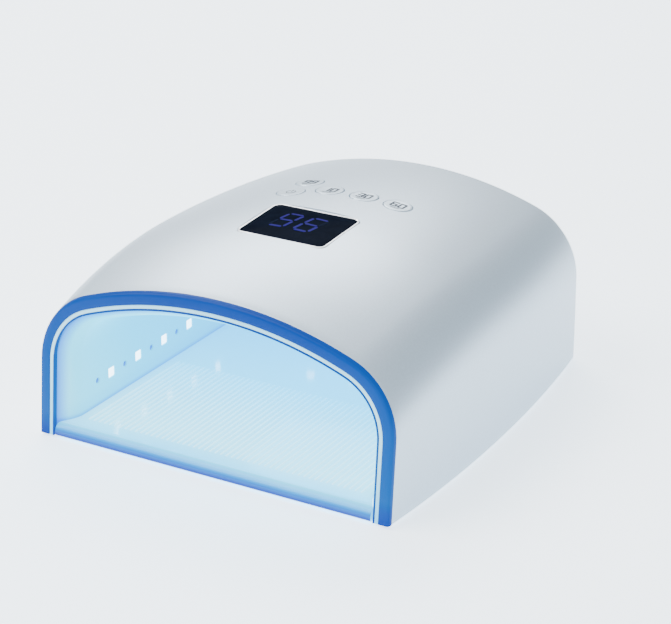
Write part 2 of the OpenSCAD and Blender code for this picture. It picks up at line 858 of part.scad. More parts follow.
module battery_strap() {
    half_d = cell_dia / 2 + 0.3 + cradle_t;
    top = cell_z[1] + cell_dia / 2 + 0.2;
    color([0.1, 0.1, 0.1])
        from_front()
            for (x = [-33, 33])
                difference() {
                    box([x - 6, cell_y - half_d - 0.8, cell_z[0]], [x + 6, cell_y + half_d + 0.8, top + 0.8]);
                    box([x - 7, cell_y - half_d, cell_z[0] - 1], [x + 7, cell_y + half_d, top]);
                }
}

module battery_board() {
    top = cell_z[1] + cell_dia / 2 + 0.2;
    color([0.05, 0.30, 0.45])
        from_front()
            box([-24, cell_y - 8, top], [24, cell_y + 8, top + 1.2]);
}

module charge_board() {
    color([0.05, 0.35, 0.18])
        from_front()
            difference() {
                box([-charge_board_w / 2, charge_board_y - 1.6, charge_board_z[0]],
                    [charge_board_w / 2, charge_board_y, charge_board_z[1]]);
                for (x = charge_post_x)
                    translate([x, charge_board_y - 5, charge_post_z])
                        rotate([-90, 0, 0])
                            cylinder(h = 10, r = pilot_r + 0.2);
            }
}

module dc_inlet() {
    front = charge_board_y;
    color([0.08, 0.08, 0.09])
        from_front()
            difference() {
                union() {
                    box([-inlet_body[0] / 2, front, inlet_z - inlet_body[2] / 2],
                        [inlet_body[0] / 2, front + inlet_body[1], inlet_z + inlet_body[2] / 2]);
                    translate([0, front, inlet_z])
                        rotate([-90, 0, 0])
                            cylinder(h = inlet_end - front, r = inlet_barrel_r);
                }
                translate([0, front + 3, inlet_z])
                    rotate([-90, 0, 0])
                        cylinder(h = 20, r = socket_r);
            }
}

module dc_pin() {
    color([0.8, 0.75, 0.5])
        from_front()
            translate([0, charge_board_y + 3, inlet_z])
                rotate([-90, 0, 0])
                    cylinder(h = inlet_end - charge_board_y - 4, r = pin_r);
}

// ---------------------------------------------------------------- screws and wires

module frame_screws() {
    color([0.5, 0.5, 0.52])
        from_front()
            for (s = [-1, 1], y = boss_y)
                translate([s * boss_x(y), y, foot_h + 1.7])
                    screw(10);
}

module liner_screws() {
    color([0.5, 0.5, 0.52])
        from_front()
            for (s = [-1, 1], y = liner_boss_y)
                translate([s * (liner_out + liner_boss[0] / 2), y, foot_h + 1.7])
                    screw(5);
}

module charge_board_screws() {
    color([0.5, 0.5, 0.52])
        from_front()
            for (x = charge_post_x)
                translate([x, charge_board_y - 1.6, charge_post_z])
                    rotate([-90, 0, 0])
                        screw(7);
}

module control_board_screws() {
    color([0.5, 0.5, 0.52])
        from_front()
            for (p = board_post)
                translate([p[0], p[1], board_z])
                    screw(8);
}

// From a side LED board up between liner and shell to the underside of the control board
module led_wires(s) {
    x = liner_out + led_board_t + wire_r;
    shoulder_x = board_w / 2 + 26;
    color([0.75, 0.12, 0.10])
        from_front()
            wire([[s * x, 128, led_z + 3], [s * x, 128, led_z + led_board_w / 2],
                  [s * (x + 1), 128, led_z + 20],
                  [s * (x - 1), 128, board_z - 20], [s * shoulder_x, 128, board_z - 8],
                  [s * (board_w / 2 + 12), 128, board_z - 4], [s * (board_w / 2 + 3), 128, board_z - 1.4],
                  [s * (board_w / 2 - 4), 128, board_z - wire_r]], wire_r, [0, 1, 0]);
}

// From the battery board forward over the liner to the control board
module battery_wires() {
    top = cell_z[1] + cell_dia / 2 + 1.4;
    color([0.75, 0.12, 0.10])
        from_front()
            for (x = [-3, 3])
                wire([[x, cell_y + 2, top + wire_r], [x, cell_y - 4, top + wire_r], [x, cell_y - 9, top + 4],
                      [x, bay_y + 2, board_z - 6], [x, board_y[1] + 4, board_z - 3],
                      [x, board_y[1] - 6, board_z - wire_r]], wire_r, [1, 0, 0]);
}

// From the charge board up to the battery board
module inlet_wires() {
    top = cell_z[1] + cell_dia / 2 + 1.4;
    color([0.75, 0.12, 0.10])
        from_front()
            for (x = [-13, 13])
                wire([[x, charge_board_y - 1.6 - wire_r, charge_board_z[1] - 10],
                      [x, charge_board_y - 1.6 - wire_r, charge_board_z[1] + 2],
                      [x, charge_board_y - 4, charge_board_z[1] + 8], [x, cell_y + 12, top],
                      [x, cell_y + 7, top + wire_r], [x, cell_y + 3, top + wire_r]], wire_r, [1, 0, 0]);
}

outer_shell();
light_rim();
rim_diffuser();
inner_liner();
bottom_frame();
rubber_feet();
base_tray();
tray_feet();
tray_magnets();
catch_plates();
display_bezel();
display_window();
display_module();
control_board();
tact_switches();
side_board(-1);  // led_board_left
side_board(1);  // led_board_right
led_board_rear();
roof_board(-1);  // led_board_roof_left
roof_board(1);  // led_board_roof_right
side_square_leds(-1);  // square_leds_left
side_square_leds(1);  // square_leds_right
square_leds_rear();
square_leds_roof();
side_round_leds(-1);  // round_leds_left
side_round_leds(1);  // round_leds_right
hand_sensor();
battery_cells();
cell_tabs();
battery_cradle();
battery_strap();
battery_board();
charge_board();
dc_inlet();
dc_pin();
frame_screws();
liner_screws();
control_board_screws();
charge_board_screws();
battery_wires();
inlet_wires();
led_wires(-1);  // led_wires_left
led_wires(1);  // led_wires_right
for (i = [0 : len(BUTTONS) - 1]) {
    button_cap(i);
    plunger(i);
}
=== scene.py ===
import json
import math

import bmesh
import bpy
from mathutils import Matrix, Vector

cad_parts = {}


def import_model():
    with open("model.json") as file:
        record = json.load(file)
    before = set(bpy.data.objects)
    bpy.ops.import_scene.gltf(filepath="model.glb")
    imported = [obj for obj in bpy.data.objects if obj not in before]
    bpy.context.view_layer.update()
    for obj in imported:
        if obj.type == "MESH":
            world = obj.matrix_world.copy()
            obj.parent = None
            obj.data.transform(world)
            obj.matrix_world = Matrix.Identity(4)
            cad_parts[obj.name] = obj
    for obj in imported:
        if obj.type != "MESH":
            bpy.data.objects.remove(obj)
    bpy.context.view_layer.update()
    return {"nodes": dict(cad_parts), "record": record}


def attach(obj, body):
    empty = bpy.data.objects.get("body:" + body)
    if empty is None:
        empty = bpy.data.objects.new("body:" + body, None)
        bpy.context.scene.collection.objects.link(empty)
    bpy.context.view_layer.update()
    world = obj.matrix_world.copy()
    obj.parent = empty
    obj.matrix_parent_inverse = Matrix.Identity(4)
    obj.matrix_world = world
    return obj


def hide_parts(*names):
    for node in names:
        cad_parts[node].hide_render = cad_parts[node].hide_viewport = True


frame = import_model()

MM = 0.001
NODE = frame["nodes"]

# ------------------------------------------------------------------ sizes, as in the part's source
# Millimetres; y is measured from the front and z from the table.

BODY_W, BODY_D, BODY_H = 200.0, 220.0, 100.0
WIDE_Y, FRONT_INSET, REAR_INSET = 84.0, 4.5, 10.0
PEAK_Y, FRONT_DROP, REAR_DROP = 92.0, 14.0, 9.0
CROWN_R, SHOULDER_R, REAR_ROUND = 208.0, 36.0, 10.0
REAR_BOW_W, REAR_BOW_H, RIM_LEAN = 5.0, 6.0, 8.0
SHELL_T, RIM_T, RIM_BAND = 2.5, 2.5, 8.2
GROOVE_AT, GROOVE_W, GROOVE_DEEP = 5.4, 2.0, 1.4
LINER_INSET, LINER_T, FLARE_L, REAR_BAY, LINER_ROUND = 14.5, 1.6, 12.0, 55.0, 16.0
FOOT_H, FRAME_T, TRAY_GAP = 1.5, 2.5, 0.4
FLOOR_Z, FLOOR_T, SKIRT_T, LIP_D = 8.0, 2.4, 2.0, 9.0
RIB_H, RIB_PITCH, RIB_L = 0.4, 3.0, 78.0
LED, LED_H, ROUND_LED, LED_PLAY = 5.0, 1.5, 3.0, 0.4
SIDE_LEDS, LED_MARGIN, LED_END_GAP, LED_Z, REAR_LED_Z = 5, 14.0, 6, 20.5, 33.0
WINDOW_W, WINDOW_D, WINDOW_Y, WINDOW_R, BEZEL_W = 46.0, 36.0, 84.0, 3.0, 1.1
BUTTON_DIA, BUTTON_GAP, CAP_PROUD, STEM_R, FLANGE_T, FLANGE_GAP = 14.2, 0.3, 0.3, 2.2, 1.2, 0.7
INLET_Z, INLET_HOLE_R = 22.0, 4.4
MAGNET_X, PAD_X, FOOT_R, FOOT_GAP = (-40, 40), (-60, 60), 4.5, 2.5
BUTTONS = {"10s": (-10.7, 132.0), "30s": (8.4, 132.5), "60s": (27.0, 133.0),
           "99s": (-28.2, 142.4), "power": (-28.2, 123.5)}

FRONT_HALF_W = BODY_W / 2 - FRONT_INSET
FRONT_ROOF = BODY_H - FOOT_H - FRONT_DROP
FRAME_TOP = FOOT_H + FRAME_T
LINER_D = BODY_D - REAR_BAY
MOUTH_Y = RIM_T + 0.1
LINER_HALF_W = FRONT_HALF_W - LINER_INSET
LINER_OUT = LINER_HALF_W + LINER_T
LINER_ROOF_R = CROWN_R - LINER_INSET
LINER_ROOF_Z = FOOT_H + FRONT_ROOF - LINER_INSET
BAY_Y = LINER_D + LINER_T
FLARE_END = MOUTH_Y + FLARE_L
LED_FIRST = FLARE_END + LED_MARGIN
LED_PITCH = (LINER_D - LINER_ROUND - LED_END_GAP - LED_FIRST) / SIDE_LEDS
LED_HOLE_HALF = (LED + LED_PLAY) / 2
ROOF_LED_X = 24.0
ROOF_LED_Y = [FLARE_END + f * (LINER_D - LINER_ROUND - FLARE_END) for f in (0.33, 0.66)]
REAR_LED_X = [-42.0, -14.0, 14.0, 42.0]
TRAY_HALF_W = LINER_HALF_W - TRAY_GAP
TRAY_BACK = LINER_D - 1
TRAY_CORNER_R = LINER_ROUND - 1
PAD_Y = (24, TRAY_BACK - 34)
LIP_HALF_W = FRONT_HALF_W - RIM_BAND - 0.9
LIP_FOOT, LIP_ROUND = 2.0, 5.5
FLANGE_R = BUTTON_DIA / 2 + 1


def half_w(y):
    if y < WIDE_Y:
        return BODY_W / 2 - FRONT_INSET * ((WIDE_Y - y) / WIDE_Y) ** 2
    return BODY_W / 2 - REAR_INSET * ((y - WIDE_Y) / (BODY_D - WIDE_Y)) ** 2


def roof_h(y):
    if y < PEAK_Y:
        return BODY_H - FOOT_H - FRONT_DROP * ((PEAK_Y - y) / PEAK_Y) ** 2
    return BODY_H - FOOT_H - REAR_DROP * ((y - PEAK_Y) / (BODY_D - PEAK_Y)) ** 2


def lean(y, z):
    return RIM_LEAN * z / FRONT_ROOF * (1 - y / BODY_D)


def bow(x, y, z):
    return (REAR_BOW_W * (2 * x / BODY_W) ** 2 + REAR_BOW_H * (z / BODY_H) ** 2) * (y / BODY_D) ** 4


def roof_z(x, y):
    """Height of the roof over a point of the plan, with the lean and the bow taken out of y."""
    ring = y
    for _ in range(4):
        h = roof_h(ring) - CROWN_R + math.sqrt(CROWN_R ** 2 - x * x)
        ring = y - lean(ring, h) + bow(x, ring, h)
    return FOOT_H + roof_h(ring) - CROWN_R + math.sqrt(CROWN_R ** 2 - x * x)


def arch(w, h, rt, rs, z0, wall_n=8, shoulder_n=14, crown_n=26, foot=0.0):
    """Points from the right foot over the top to the left foot.
    foot rounds the lower edge, outwards if negative."""
    b = w - rs
    turn = math.acos(b / (rt - rs))
    zc = h - rt + (rt - rs) * math.sin(turn)
    e = abs(foot)
    right = []
    if foot:
        for i in range(4):
            a = math.pi / 2 * i / 4
            right.append((w - foot * (1 - math.sin(a)), z0 + e * (1 - math.cos(a))))
    right += [(w, z0 + e + (zc - z0 - e) * i / wall_n) for i in range(wall_n)]
    right += [(b + rs * math.cos(turn * i / shoulder_n), zc + rs * math.sin(turn * i / shoulder_n))
              for i in range(shoulder_n)]
    for i in range(crown_n + 1):
        a = turn + (math.pi / 2 - turn) * i / crown_n
        right.append((rt * math.cos(a), h - rt + rt * math.sin(a)))
    return right + [(-x, z) for x, z in reversed(right[:-1])]


def shell_ring(y, inset, s=1.0, foot=0.0):
    pts = arch(half_w(y) - inset, roof_h(y) - inset, CROWN_R - inset, SHOULDER_R - inset, 0, foot=foot)
    return [(s * x, y + lean(y, s * z) - bow(s * x, y, s * z), FOOT_H + s * z) for x, z in pts]


def flare(y):
    return (1 - (y - MOUTH_Y) / FLARE_L) ** 1.6 if y < FLARE_END else 0.0


def liner_ring(y, inset):
    i = LINER_INSET + inset - (LINER_INSET - RIM_BAND - 0.2) * flare(y)
    pts = arch(FRONT_HALF_W - i, FRONT_ROOF - i, CROWN_R - i, SHOULDER_R - i, FRAME_T)
    fade = 1 - (y - MOUTH_Y) / (LINER_D - MOUTH_Y)
    return [(x, y + lean(y, z) * fade, FOOT_H + z) for x, z in pts]


def roof_place(s, y, u=0.0, v=0.0, up=0.0):
    """A point u, v along and up over the liner's outside roof, on the left or right LED row."""
    a = math.asin(ROOF_LED_X / (LINER_ROOF_R + LINER_T)) * s
    r = LINER_ROOF_R + LINER_T + up
    return (u * math.cos(a) + r * math.sin(a), y + v,
            LINER_ROOF_Z - LINER_ROOF_R - u * math.sin(a) + r * math.cos(a))


# ------------------------------------------------------------------ mesh helpers

def world(p):
    return Vector((p[0] * MM, (p[1] - BODY_D / 2) * MM, p[2] * MM))


def linked(name, data):
    """A new object in the scene."""
    obj = bpy.data.objects.new(name, data)
    bpy.context.scene.collection.objects.link(obj)
    return obj


def crease(mesh, angle):
    """Smooth shading with edges sharp where faces meet at more than angle degrees."""
    bm = bmesh.new()
    bm.from_mesh(mesh)
    for f in bm.faces:
        f.smooth = True
    for e in bm.edges:
        e.smooth = len(e.link_faces) == 2 and e.calc_face_angle(0) < math.radians(angle)
    bm.to_mesh(mesh)
    bm.free()


def build(name, pts, faces, angle=32):
    """A closed mesh object from points in millimetres."""
    mesh = bpy.data.meshes.new(name)
    bm = bmesh.new()
    verts = [bm.verts.new(world(p)) for p in pts]
    for f in faces:
        corners = [verts[i] for i in dict.fromkeys(f)]
        if len(corners) > 2:
            bm.faces.new(corners)
    bmesh.ops.remove_doubles(bm, verts=bm.verts, dist=1e-6)
    bmesh.ops.recalc_face_normals(bm, faces=bm.faces)
    if bm.calc_volume(signed=True) < 0:
        bmesh.ops.reverse_faces(bm, faces=bm.faces)
    bm.to_mesh(mesh)
    bm.free()
    crease(mesh, angle)
    return linked(name, mesh)


def join_parts(name, parts, angle=32):
    """One object from several (points, faces) parts."""
    pts, faces = [], []
    for p, f in parts:
        base = len(pts)
        pts += p
        faces += [[base + i for i in face] for face in f]
    return build(name, pts, faces, angle)


def skin(rows, closed=False):
    """Faces over rows of equal length."""
    m = len(rows[0])
    out = []
    for i in range(len(rows) - (0 if closed else 1)):
        q = (i + 1) % len(rows)
        out += [[i * m + j, i * m + j + 1, q * m + j + 1, q * m + j] for j in range(m - 1)]
    return out


def double_skin(outer, inner):
    """Two rows of arches joined at the mouth and along the feet, with the start of both last arches."""
    m, k = len(outer[0]), len(outer)
    pts = [p for row in outer + inner for p in row]
    faces = skin(outer) + [[k * m + i for i in f] for f in skin(inner)]
    faces += [[j, j + 1, k * m + j + 1, k * m + j] for j in range(m - 1)]
    for i in range(k - 1):
        for foot in (i * m, i * m + m - 1):
            faces.append([foot, foot + m, k * m + foot + m, k * m + foot])
    return pts, faces, (k - 1) * m, (2 * k - 1) * m


def lathe(profile, n, place):
    """A solid of revolution. profile is a list of (radius, height) from axis to axis."""
    pts, rows = [], []
    for r, h in profile:
        if r == 0:
            rows.append([len(pts)])
            pts.append(place(0, 0, h))
        else:
            rows.append(list(range(len(pts), len(pts) + n)))
            pts += [place(r, 2 * math.pi * k / n, h) for k in range(n)]
    faces = []
    for lower, upper in zip(rows, rows[1:]):
        for k in range(n):
            q = (k + 1) % n
            face = [lower[k % len(lower)], lower[q % len(lower)]]
            face += [upper[q % len(upper)], upper[k % len(upper)]]
            faces.append(list(dict.fromkeys(face)))
    return pts, [f for f in faces if len(f) > 2]


def upright(profile, x, y, n=36):
    """A solid of revolution on an upright axis."""
    return lathe(profile, n, lambda r, a, h: (x + r * math.cos(a), y + r * math.sin(a), h))


def plug(r, low, high, x, y, n=40):
    """An upright cylinder."""
    return upright([(0, low), (r, low), (r, high), (0, high)], x, y, n)


def rounded_rect(w, d, r, n):
    pts = []
    for cx, cy, a0 in ((1, 1, 0), (-1, 1, 90), (-1, -1, 180), (1, -1, 270)):
        for i in range(n + 1):
            a = math.radians(a0 + 90 * i / n)
            pts.append((cx * (w / 2 - r) + r * math.cos(a), cy * (d / 2 - r) + r * math.sin(a)))
    return pts


def circle(r, n=56):
    return [(r * math.cos(2 * math.pi * i / n), r * math.sin(2 * math.pi * i / n)) for i in range(n)]


def stack(loops, cap=True):
    """A solid from equal closed loops, one over the other, with flat caps."""
    m = len(loops[0])
    pts = [p for loop in loops for p in loop]
    faces = []
    for i in range(len(loops) - 1):
        faces += [[i * m + j, i * m + (j + 1) % m, (i + 1) * m + (j + 1) % m, (i + 1) * m + j]
                  for j in range(m)]
    if cap:
        faces += [list(range(m)), list(range((len(loops) - 1) * m, len(loops) * m))]
    return pts, faces


def block(low, high, edge):
    """A box with rounded upright edges and chamfered ends."""
    cx, cy = (low[0] + high[0]) / 2, (low[1] + high[1]) / 2
    w, d = high[0] - low[0], high[1] - low[1]
    loops = []
    for inset, z in ((edge, low[2]), (0, low[2] + edge), (0, high[2] - edge), (edge, high[2])):
        r = max(edge * 1.2 - inset * 0.4, 0.05)
        loops.append([(cx + x, cy + y, z) for x, y in rounded_rect(w - 2 * inset, d - 2 * inset, r, 3)])
    return stack(loops)


def cut(obj, cutters, angle=30):
    """Takes the closed cutters out of obj and removes them."""
    for c in cutters:
        m = obj.modifiers.new("cut", "BOOLEAN")
        m.operation, m.solver, m.object = "DIFFERENCE", "EXACT", c
    graph = bpy.context.evaluated_depsgraph_get()
    mesh = bpy.data.meshes.new_from_object(obj.evaluated_get(graph))
    obj.modifiers.clear()
    obj.data = mesh
    crease(mesh, angle)
    for c in cutters:
        bpy.data.objects.remove(c)


def over_roof(outline, cx, cy, lift):
    """A loop over the roof, from an outline round a centre."""
    return [(cx + x, cy + y, roof_z(cx + x, cy + y) + lift) for x, y in outline]


def flat_loop(outline, cx, cy, z):
    """A loop at one height, from an outline round a centre."""
    return [(cx + x, cy + y, z) for x, y in outline]


def piece(obj, mat, body="root", nodes=()):
    """Gives obj its finish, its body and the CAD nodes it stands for."""
    obj.data.materials.clear()
    obj.data.materials.append(mat)
    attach(obj, body)
    if nodes:
        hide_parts(*nodes)
    return obj


# ------------------------------------------------------------------ materials

def nodes_of(name):
    """A new material with its node tree, its shader and its links."""
    mat = bpy.data.materials.new(name)
    mat.use_nodes = True
    tree = mat.node_tree
    return mat, tree, tree.nodes["Principled BSDF"], tree.links


def add(tree, kind, **values):
    """A shader node with the given inputs and settings."""
    node = tree.nodes.new("ShaderNode" + kind)
    for key, value in values.items():
        if key in node.inputs:
            node.inputs[key].default_value = value
        else:
            setattr(node, key.lower(), value)
    return node


def ramp(tree, stops):
    """A colour ramp from (position, colour) stops."""
    node = tree.nodes.new("ShaderNodeValToRGB")
    cr = node.color_ramp
    while len(cr.elements) < len(stops):
        cr.elements.new(0.5)
    for element, (at, colour) in zip(cr.elements, stops):
        element.position = at
        element.color = (*colour, 1)
    return node


def tint(colour, k):
    return tuple(min(1.0, c * k) for c in colour)


def finish_of(name, colour, rough=0.45, metallic=0.0, vary=0.06, scale=400, bump=0.02, grain=2500,
              stretch=(1, 1, 1), coat=0.0, coat_rough=0.1, spec=0.5, rough_vary=0.06, sheen=0.0, ior=1.5):
    """A moulded, painted, metal or rubber finish with fine variation of colour, gloss and relief."""
    mat, tree, shader, links = nodes_of(name)
    coords = add(tree, "TexCoord")
    mapping = add(tree, "Mapping", Scale=stretch)
    links.new(coords.outputs["Object"], mapping.inputs["Vector"])
    cloud = add(tree, "TexNoise", Scale=scale, Detail=4.0, Roughness=0.6)
    links.new(mapping.outputs["Vector"], cloud.inputs["Vector"])
    colours = ramp(tree, [(0.3, tint(colour, 1 - vary)), (0.7, tint(colour, 1 + vary))])
    links.new(cloud.outputs["Fac"], colours.inputs["Fac"])
    links.new(colours.outputs["Color"], shader.inputs["Base Color"])
    gloss = add(tree, "MapRange", **{"To Min": max(0.02, rough - rough_vary),
                                     "To Max": min(1.0, rough + rough_vary)})
    links.new(cloud.outputs["Fac"], gloss.inputs["Value"])
    links.new(gloss.outputs["Result"], shader.inputs["Roughness"])
    fine = add(tree, "TexNoise", Scale=grain, Detail=2.0)
    links.new(mapping.outputs["Vector"], fine.inputs["Vector"])
    relief = add(tree, "Bump", Strength=1.0, Distance=bump * MM)
    links.new(fine.outputs["Fac"], relief.inputs["Height"])
    links.new(relief.outputs["Normal"], shader.inputs["Normal"])
    for key, value in (("Metallic", metallic), ("Coat Weight", coat), ("Coat Roughness", coat_rough),
                       ("Specular IOR Level", spec), ("Sheen Weight", sheen), ("IOR", ior)):
        shader.inputs[key].default_value = value
    return mat


def glow_of(name, axis, low, high, stops, strength, base, rough=0.3, coat=0.3, cloud_scale=60, cloud=0.05,
            shades=(), spec=0.5):
    """Lit translucent plastic with painted light: the LEDs' light is painted in as glow, and the glow and the
    colour follow one axis from low to high, in millimetres. Each of shades is (direction, low, high, stops):
    a painted shade ramp along a direction, from low to high in the shared frame, by which the first is
    multiplied."""
    mat, tree, shader, links = nodes_of(name)
    coords = add(tree, "TexCoord")
    xyz = add(tree, "SeparateXYZ")
    links.new(coords.outputs["Object"], xyz.inputs["Vector"])
    shift = BODY_D / 2 if axis == "Y" else 0
    span = add(tree, "MapRange", **{"From Min": (low - shift) * MM, "From Max": (high - shift) * MM})
    links.new(xyz.outputs[axis], span.inputs["Value"])
    noise = add(tree, "TexNoise", Scale=cloud_scale, Detail=3.0)
    links.new(coords.outputs["Object"], noise.inputs["Vector"])
    wobble = add(tree, "MapRange", **{"To Min": -cloud, "To Max": cloud})
    links.new(noise.outputs["Fac"], wobble.inputs["Value"])
    total = add(tree, "Math", operation="ADD")
    links.new(span.outputs["Result"], total.inputs[0])
    links.new(wobble.outputs["Result"], total.inputs[1])
    for key, k in (("Emission Color", 1.0), ("Base Color", base)):
        colours = ramp(tree, [(at, tint(c, k)) for at, c in stops])
        links.new(total.outputs["Value"], colours.inputs["Fac"])
        out = colours.outputs["Color"]
        for direction, start, end, dim_stops in shades:
            along = add(tree, "VectorMath", operation="DOT_PRODUCT")
            links.new(coords.outputs["Object"], along.inputs[0])
            along.inputs[1].default_value = direction
            reach = add(tree, "MapRange", **{"From Min": start * MM, "From Max": end * MM})
            links.new(along.outputs["Value"], reach.inputs["Value"])
            dim = ramp(tree, dim_stops)
            links.new(reach.outputs["Result"], dim.inputs["Fac"])
            mix = add(tree, "MixRGB", blend_type="MULTIPLY", Fac=1.0)
            links.new(out, mix.inputs["Color1"])
            links.new(dim.outputs["Color"], mix.inputs["Color2"])
            out = mix.outputs["Color"]
        links.new(out, shader.inputs[key])
    for key, value in (("Emission Strength", strength), ("Specular IOR Level", spec), ("Roughness", rough),
                       ("Coat Weight", coat), ("Coat Roughness", 0.08)):
        shader.inputs[key].default_value = value
    return mat


def board_of(name, colour, copper):
    """Solder mask with tracks showing faintly under it."""
    mat, tree, shader, links = nodes_of(name)
    coords = add(tree, "TexCoord")
    cells = add(tree, "TexVoronoi", distance="MANHATTAN", feature="DISTANCE_TO_EDGE", Scale=260.0)
    links.new(coords.outputs["Object"], cells.inputs["Vector"])
    tracks = ramp(tree, [(0.03, copper), (0.06, colour)])
    links.new(cells.outputs["Distance"], tracks.inputs["Fac"])
    links.new(tracks.outputs["Color"], shader.inputs["Base Color"])
    relief = add(tree, "Bump", Strength=0.6, Distance=0.03 * MM)
    links.new(cells.outputs["Distance"], relief.inputs["Height"])
    links.new(relief.outputs["Normal"], shader.inputs["Normal"])
    shader.inputs["Roughness"].default_value = 0.35
    shader.inputs["Coat Weight"].default_value = 0.4
    return mat


PEARL = finish_of("pearl_silver", (0.53, 0.63, 0.72), rough=0.42, metallic=0.48, vary=0.035, scale=900,
                  bump=0.006, grain=5200, coat=0.15, coat_rough=0.35, rough_vary=0.03)
PEARL_CAP = finish_of("pearl_cap", (0.55, 0.65, 0.735), rough=0.38, metallic=0.48, vary=0.035, scale=900,
                      bump=0.005, grain=5200, coat=0.15, coat_rough=0.3, rough_vary=0.03)
BEZEL = finish_of("bezel_silver", (0.92, 0.94, 0.97), rough=0.22, metallic=0.35, vary=0.03, scale=700,
                  bump=0.004, grain=4000, coat=0.5, coat_rough=0.1)
GLASS_BLACK = finish_of("window_black", (0.004, 0.006, 0.012), rough=0.24, vary=0.2, scale=200, bump=0.001,
                        rough_vary=0.03, spec=0.02, ior=1.08)
MARK = finish_of("mark_grey", (0.012, 0.02, 0.04), rough=0.5, vary=0.1, scale=1200, bump=0.004, spec=0.2)
FRAME_GREY = finish_of("frame_grey", (0.47, 0.49, 0.53), rough=0.5, vary=0.04, bump=0.015, grain=1800)
RUBBER = finish_of("rubber_dark", (0.03, 0.03, 0.034), rough=0.8, vary=0.15, bump=0.03, grain=1500, sheen=0.2)
FEET_CLEAR = finish_of("feet_clear", (0.62, 0.66, 0.70), rough=0.4, vary=0.05, bump=0.01)
NICKEL = finish_of("nickel", (0.70, 0.69, 0.67), rough=0.28, metallic=1.0, stretch=(1, 14, 1), bump=0.01)
STEEL = finish_of("steel", (0.52, 0.53, 0.55), rough=0.36, metallic=1.0, stretch=(14, 1, 1), bump=0.012)
BRASS = finish_of("pin_brass", (0.78, 0.62, 0.30), rough=0.25, metallic=1.0, stretch=(1, 9, 1), bump=0.008)
BLACK = finish_of("module_black", (0.02, 0.021, 0.024), rough=0.5, vary=0.15, bump=0.015, grain=1600)
PLUNGER = finish_of("plunger_white", (0.80, 0.80, 0.78), rough=0.45, bump=0.01)
WRAP = finish_of("cell_wrap", (0.05, 0.19, 0.48), rough=0.26, vary=0.08, scale=120, bump=0.02, grain=500,
                 coat=0.6)
STRAP = finish_of("strap_black", (0.018, 0.018, 0.02), rough=0.75, vary=0.2, stretch=(1, 1, 12), bump=0.05,
                  grain=900)
WIRE = finish_of("wire_red", (0.55, 0.03, 0.025), rough=0.42, vary=0.08, bump=0.01, coat=0.3)
SENSOR = finish_of("sensor_dark", (0.03, 0.012, 0.03), rough=0.12, vary=0.15, coat=0.8, bump=0.003)
PCB_GREEN = board_of("pcb_green", (0.012, 0.15, 0.06), (0.05, 0.30, 0.12))
PCB_WHITE = board_of("pcb_white", (0.80, 0.82, 0.81), (0.62, 0.65, 0.63))
PCB_BLUE = board_of("pcb_blue", (0.02, 0.08, 0.30), (0.05, 0.20, 0.50))

# painted glow: the rim's own blue with the LEDs' light painted in as emission, brightest a little above the
# foot and darker towards the top
RIM_BLUE = glow_of("rim_blue", "Z", 0, 92, [(0.0, (0.004, 0.05, 0.52)), (0.15, (0.0, 0.15, 0.62)),
                                            (0.7, (0.0, 0.095, 0.52)), (1.0, (0.0, 0.06, 0.44))],
                   0.62, 0.25, rough=0.35, coat=0.0, spec=0.08, cloud_scale=45, cloud=0.08)
# painted glow: the light through the diffuser strip is painted in as emission, palest halfway up the arch
LIGHT_LINE = glow_of("diffuser_ice", "Z", 0, 92, [(0.0, (0.16, 0.66, 1.0)), (0.5, (0.40, 0.84, 1.0)),
                                                  (1.0, (0.28, 0.74, 1.0))],
                     0.95, 0.55, cloud_scale=30, cloud=0.2)
# painted shade on the lit liner: darker and bluer towards the floor (WALL_SHADE) and in a band at the mouth's
# edge (EDGE_SHADE)
WALL_SHADE = ((0, 0, 1), FLOOR_Z, 22,
              [(0.0, (0.30, 0.55, 0.85)), (0.12, (0.75, 0.90, 0.97)), (0.6, (1.0, 1.0, 1.0))])
EDGE_SHADE = ((0, 1, -RIM_LEAN / FRONT_ROOF), MOUTH_Y - BODY_D / 2, MOUTH_Y + 6 - BODY_D / 2,
              [(0.0, (0.22, 0.36, 0.80)), (0.3, (0.45, 0.60, 0.93)), (0.75, (1.0, 1.0, 1.0))])
# painted glow: the LEDs' light on the liner is painted in as cyan emission, palest at the mouth and fading
# towards the rear, with the painted shade above multiplied in
LINER = glow_of("liner_white", "Y", 2, 165, [(0.0, (0.22, 0.79, 1.0)), (0.08, (0.08, 0.73, 1.0)),
                                             (0.35, (0.01, 0.66, 1.0)), (1.0, (0.0, 0.58, 0.96))],
                2.05, 0.4, rough=0.28, coat=0.1, spec=0.25, cloud_scale=18, cloud=0.06,
                shades=[WALL_SHADE, EDGE_SHADE])
# painted glow: the LEDs' light on the tray is painted in as emission, with a painted pool of light some 20 to
# 50 mm from the front and darker towards the rear
TRAY_TOP = glow_of("tray_ice", "Y", 0, 165, [(0.0, (0.12, 0.64, 1.0)), (0.05, (0.20, 0.75, 1.0)),
                                             (0.12, (0.32, 0.86, 1.0)), (0.3, (0.26, 0.82, 1.0)),
                                             (0.55, (0.085, 0.71, 1.0)), (1.0, (0.035, 0.58, 0.97))],
                   1.9, 0.55, rough=0.13, coat=0.45, cloud_scale=14, cloud=0.05)
# painted glow on the ribs: palest over the front third and darker towards the rear
RIB = glow_of("tray_rib_painted_glow", "Y", 0, 165, [(0.0, (0.48, 0.90, 1.0)), (0.3, (0.44, 0.90, 1.0)),
                                        (0.55, (0.14, 0.74, 1.0))],
              2.05, 0.65, rough=0.13, coat=0.6, cloud_scale=14, cloud=0.05)
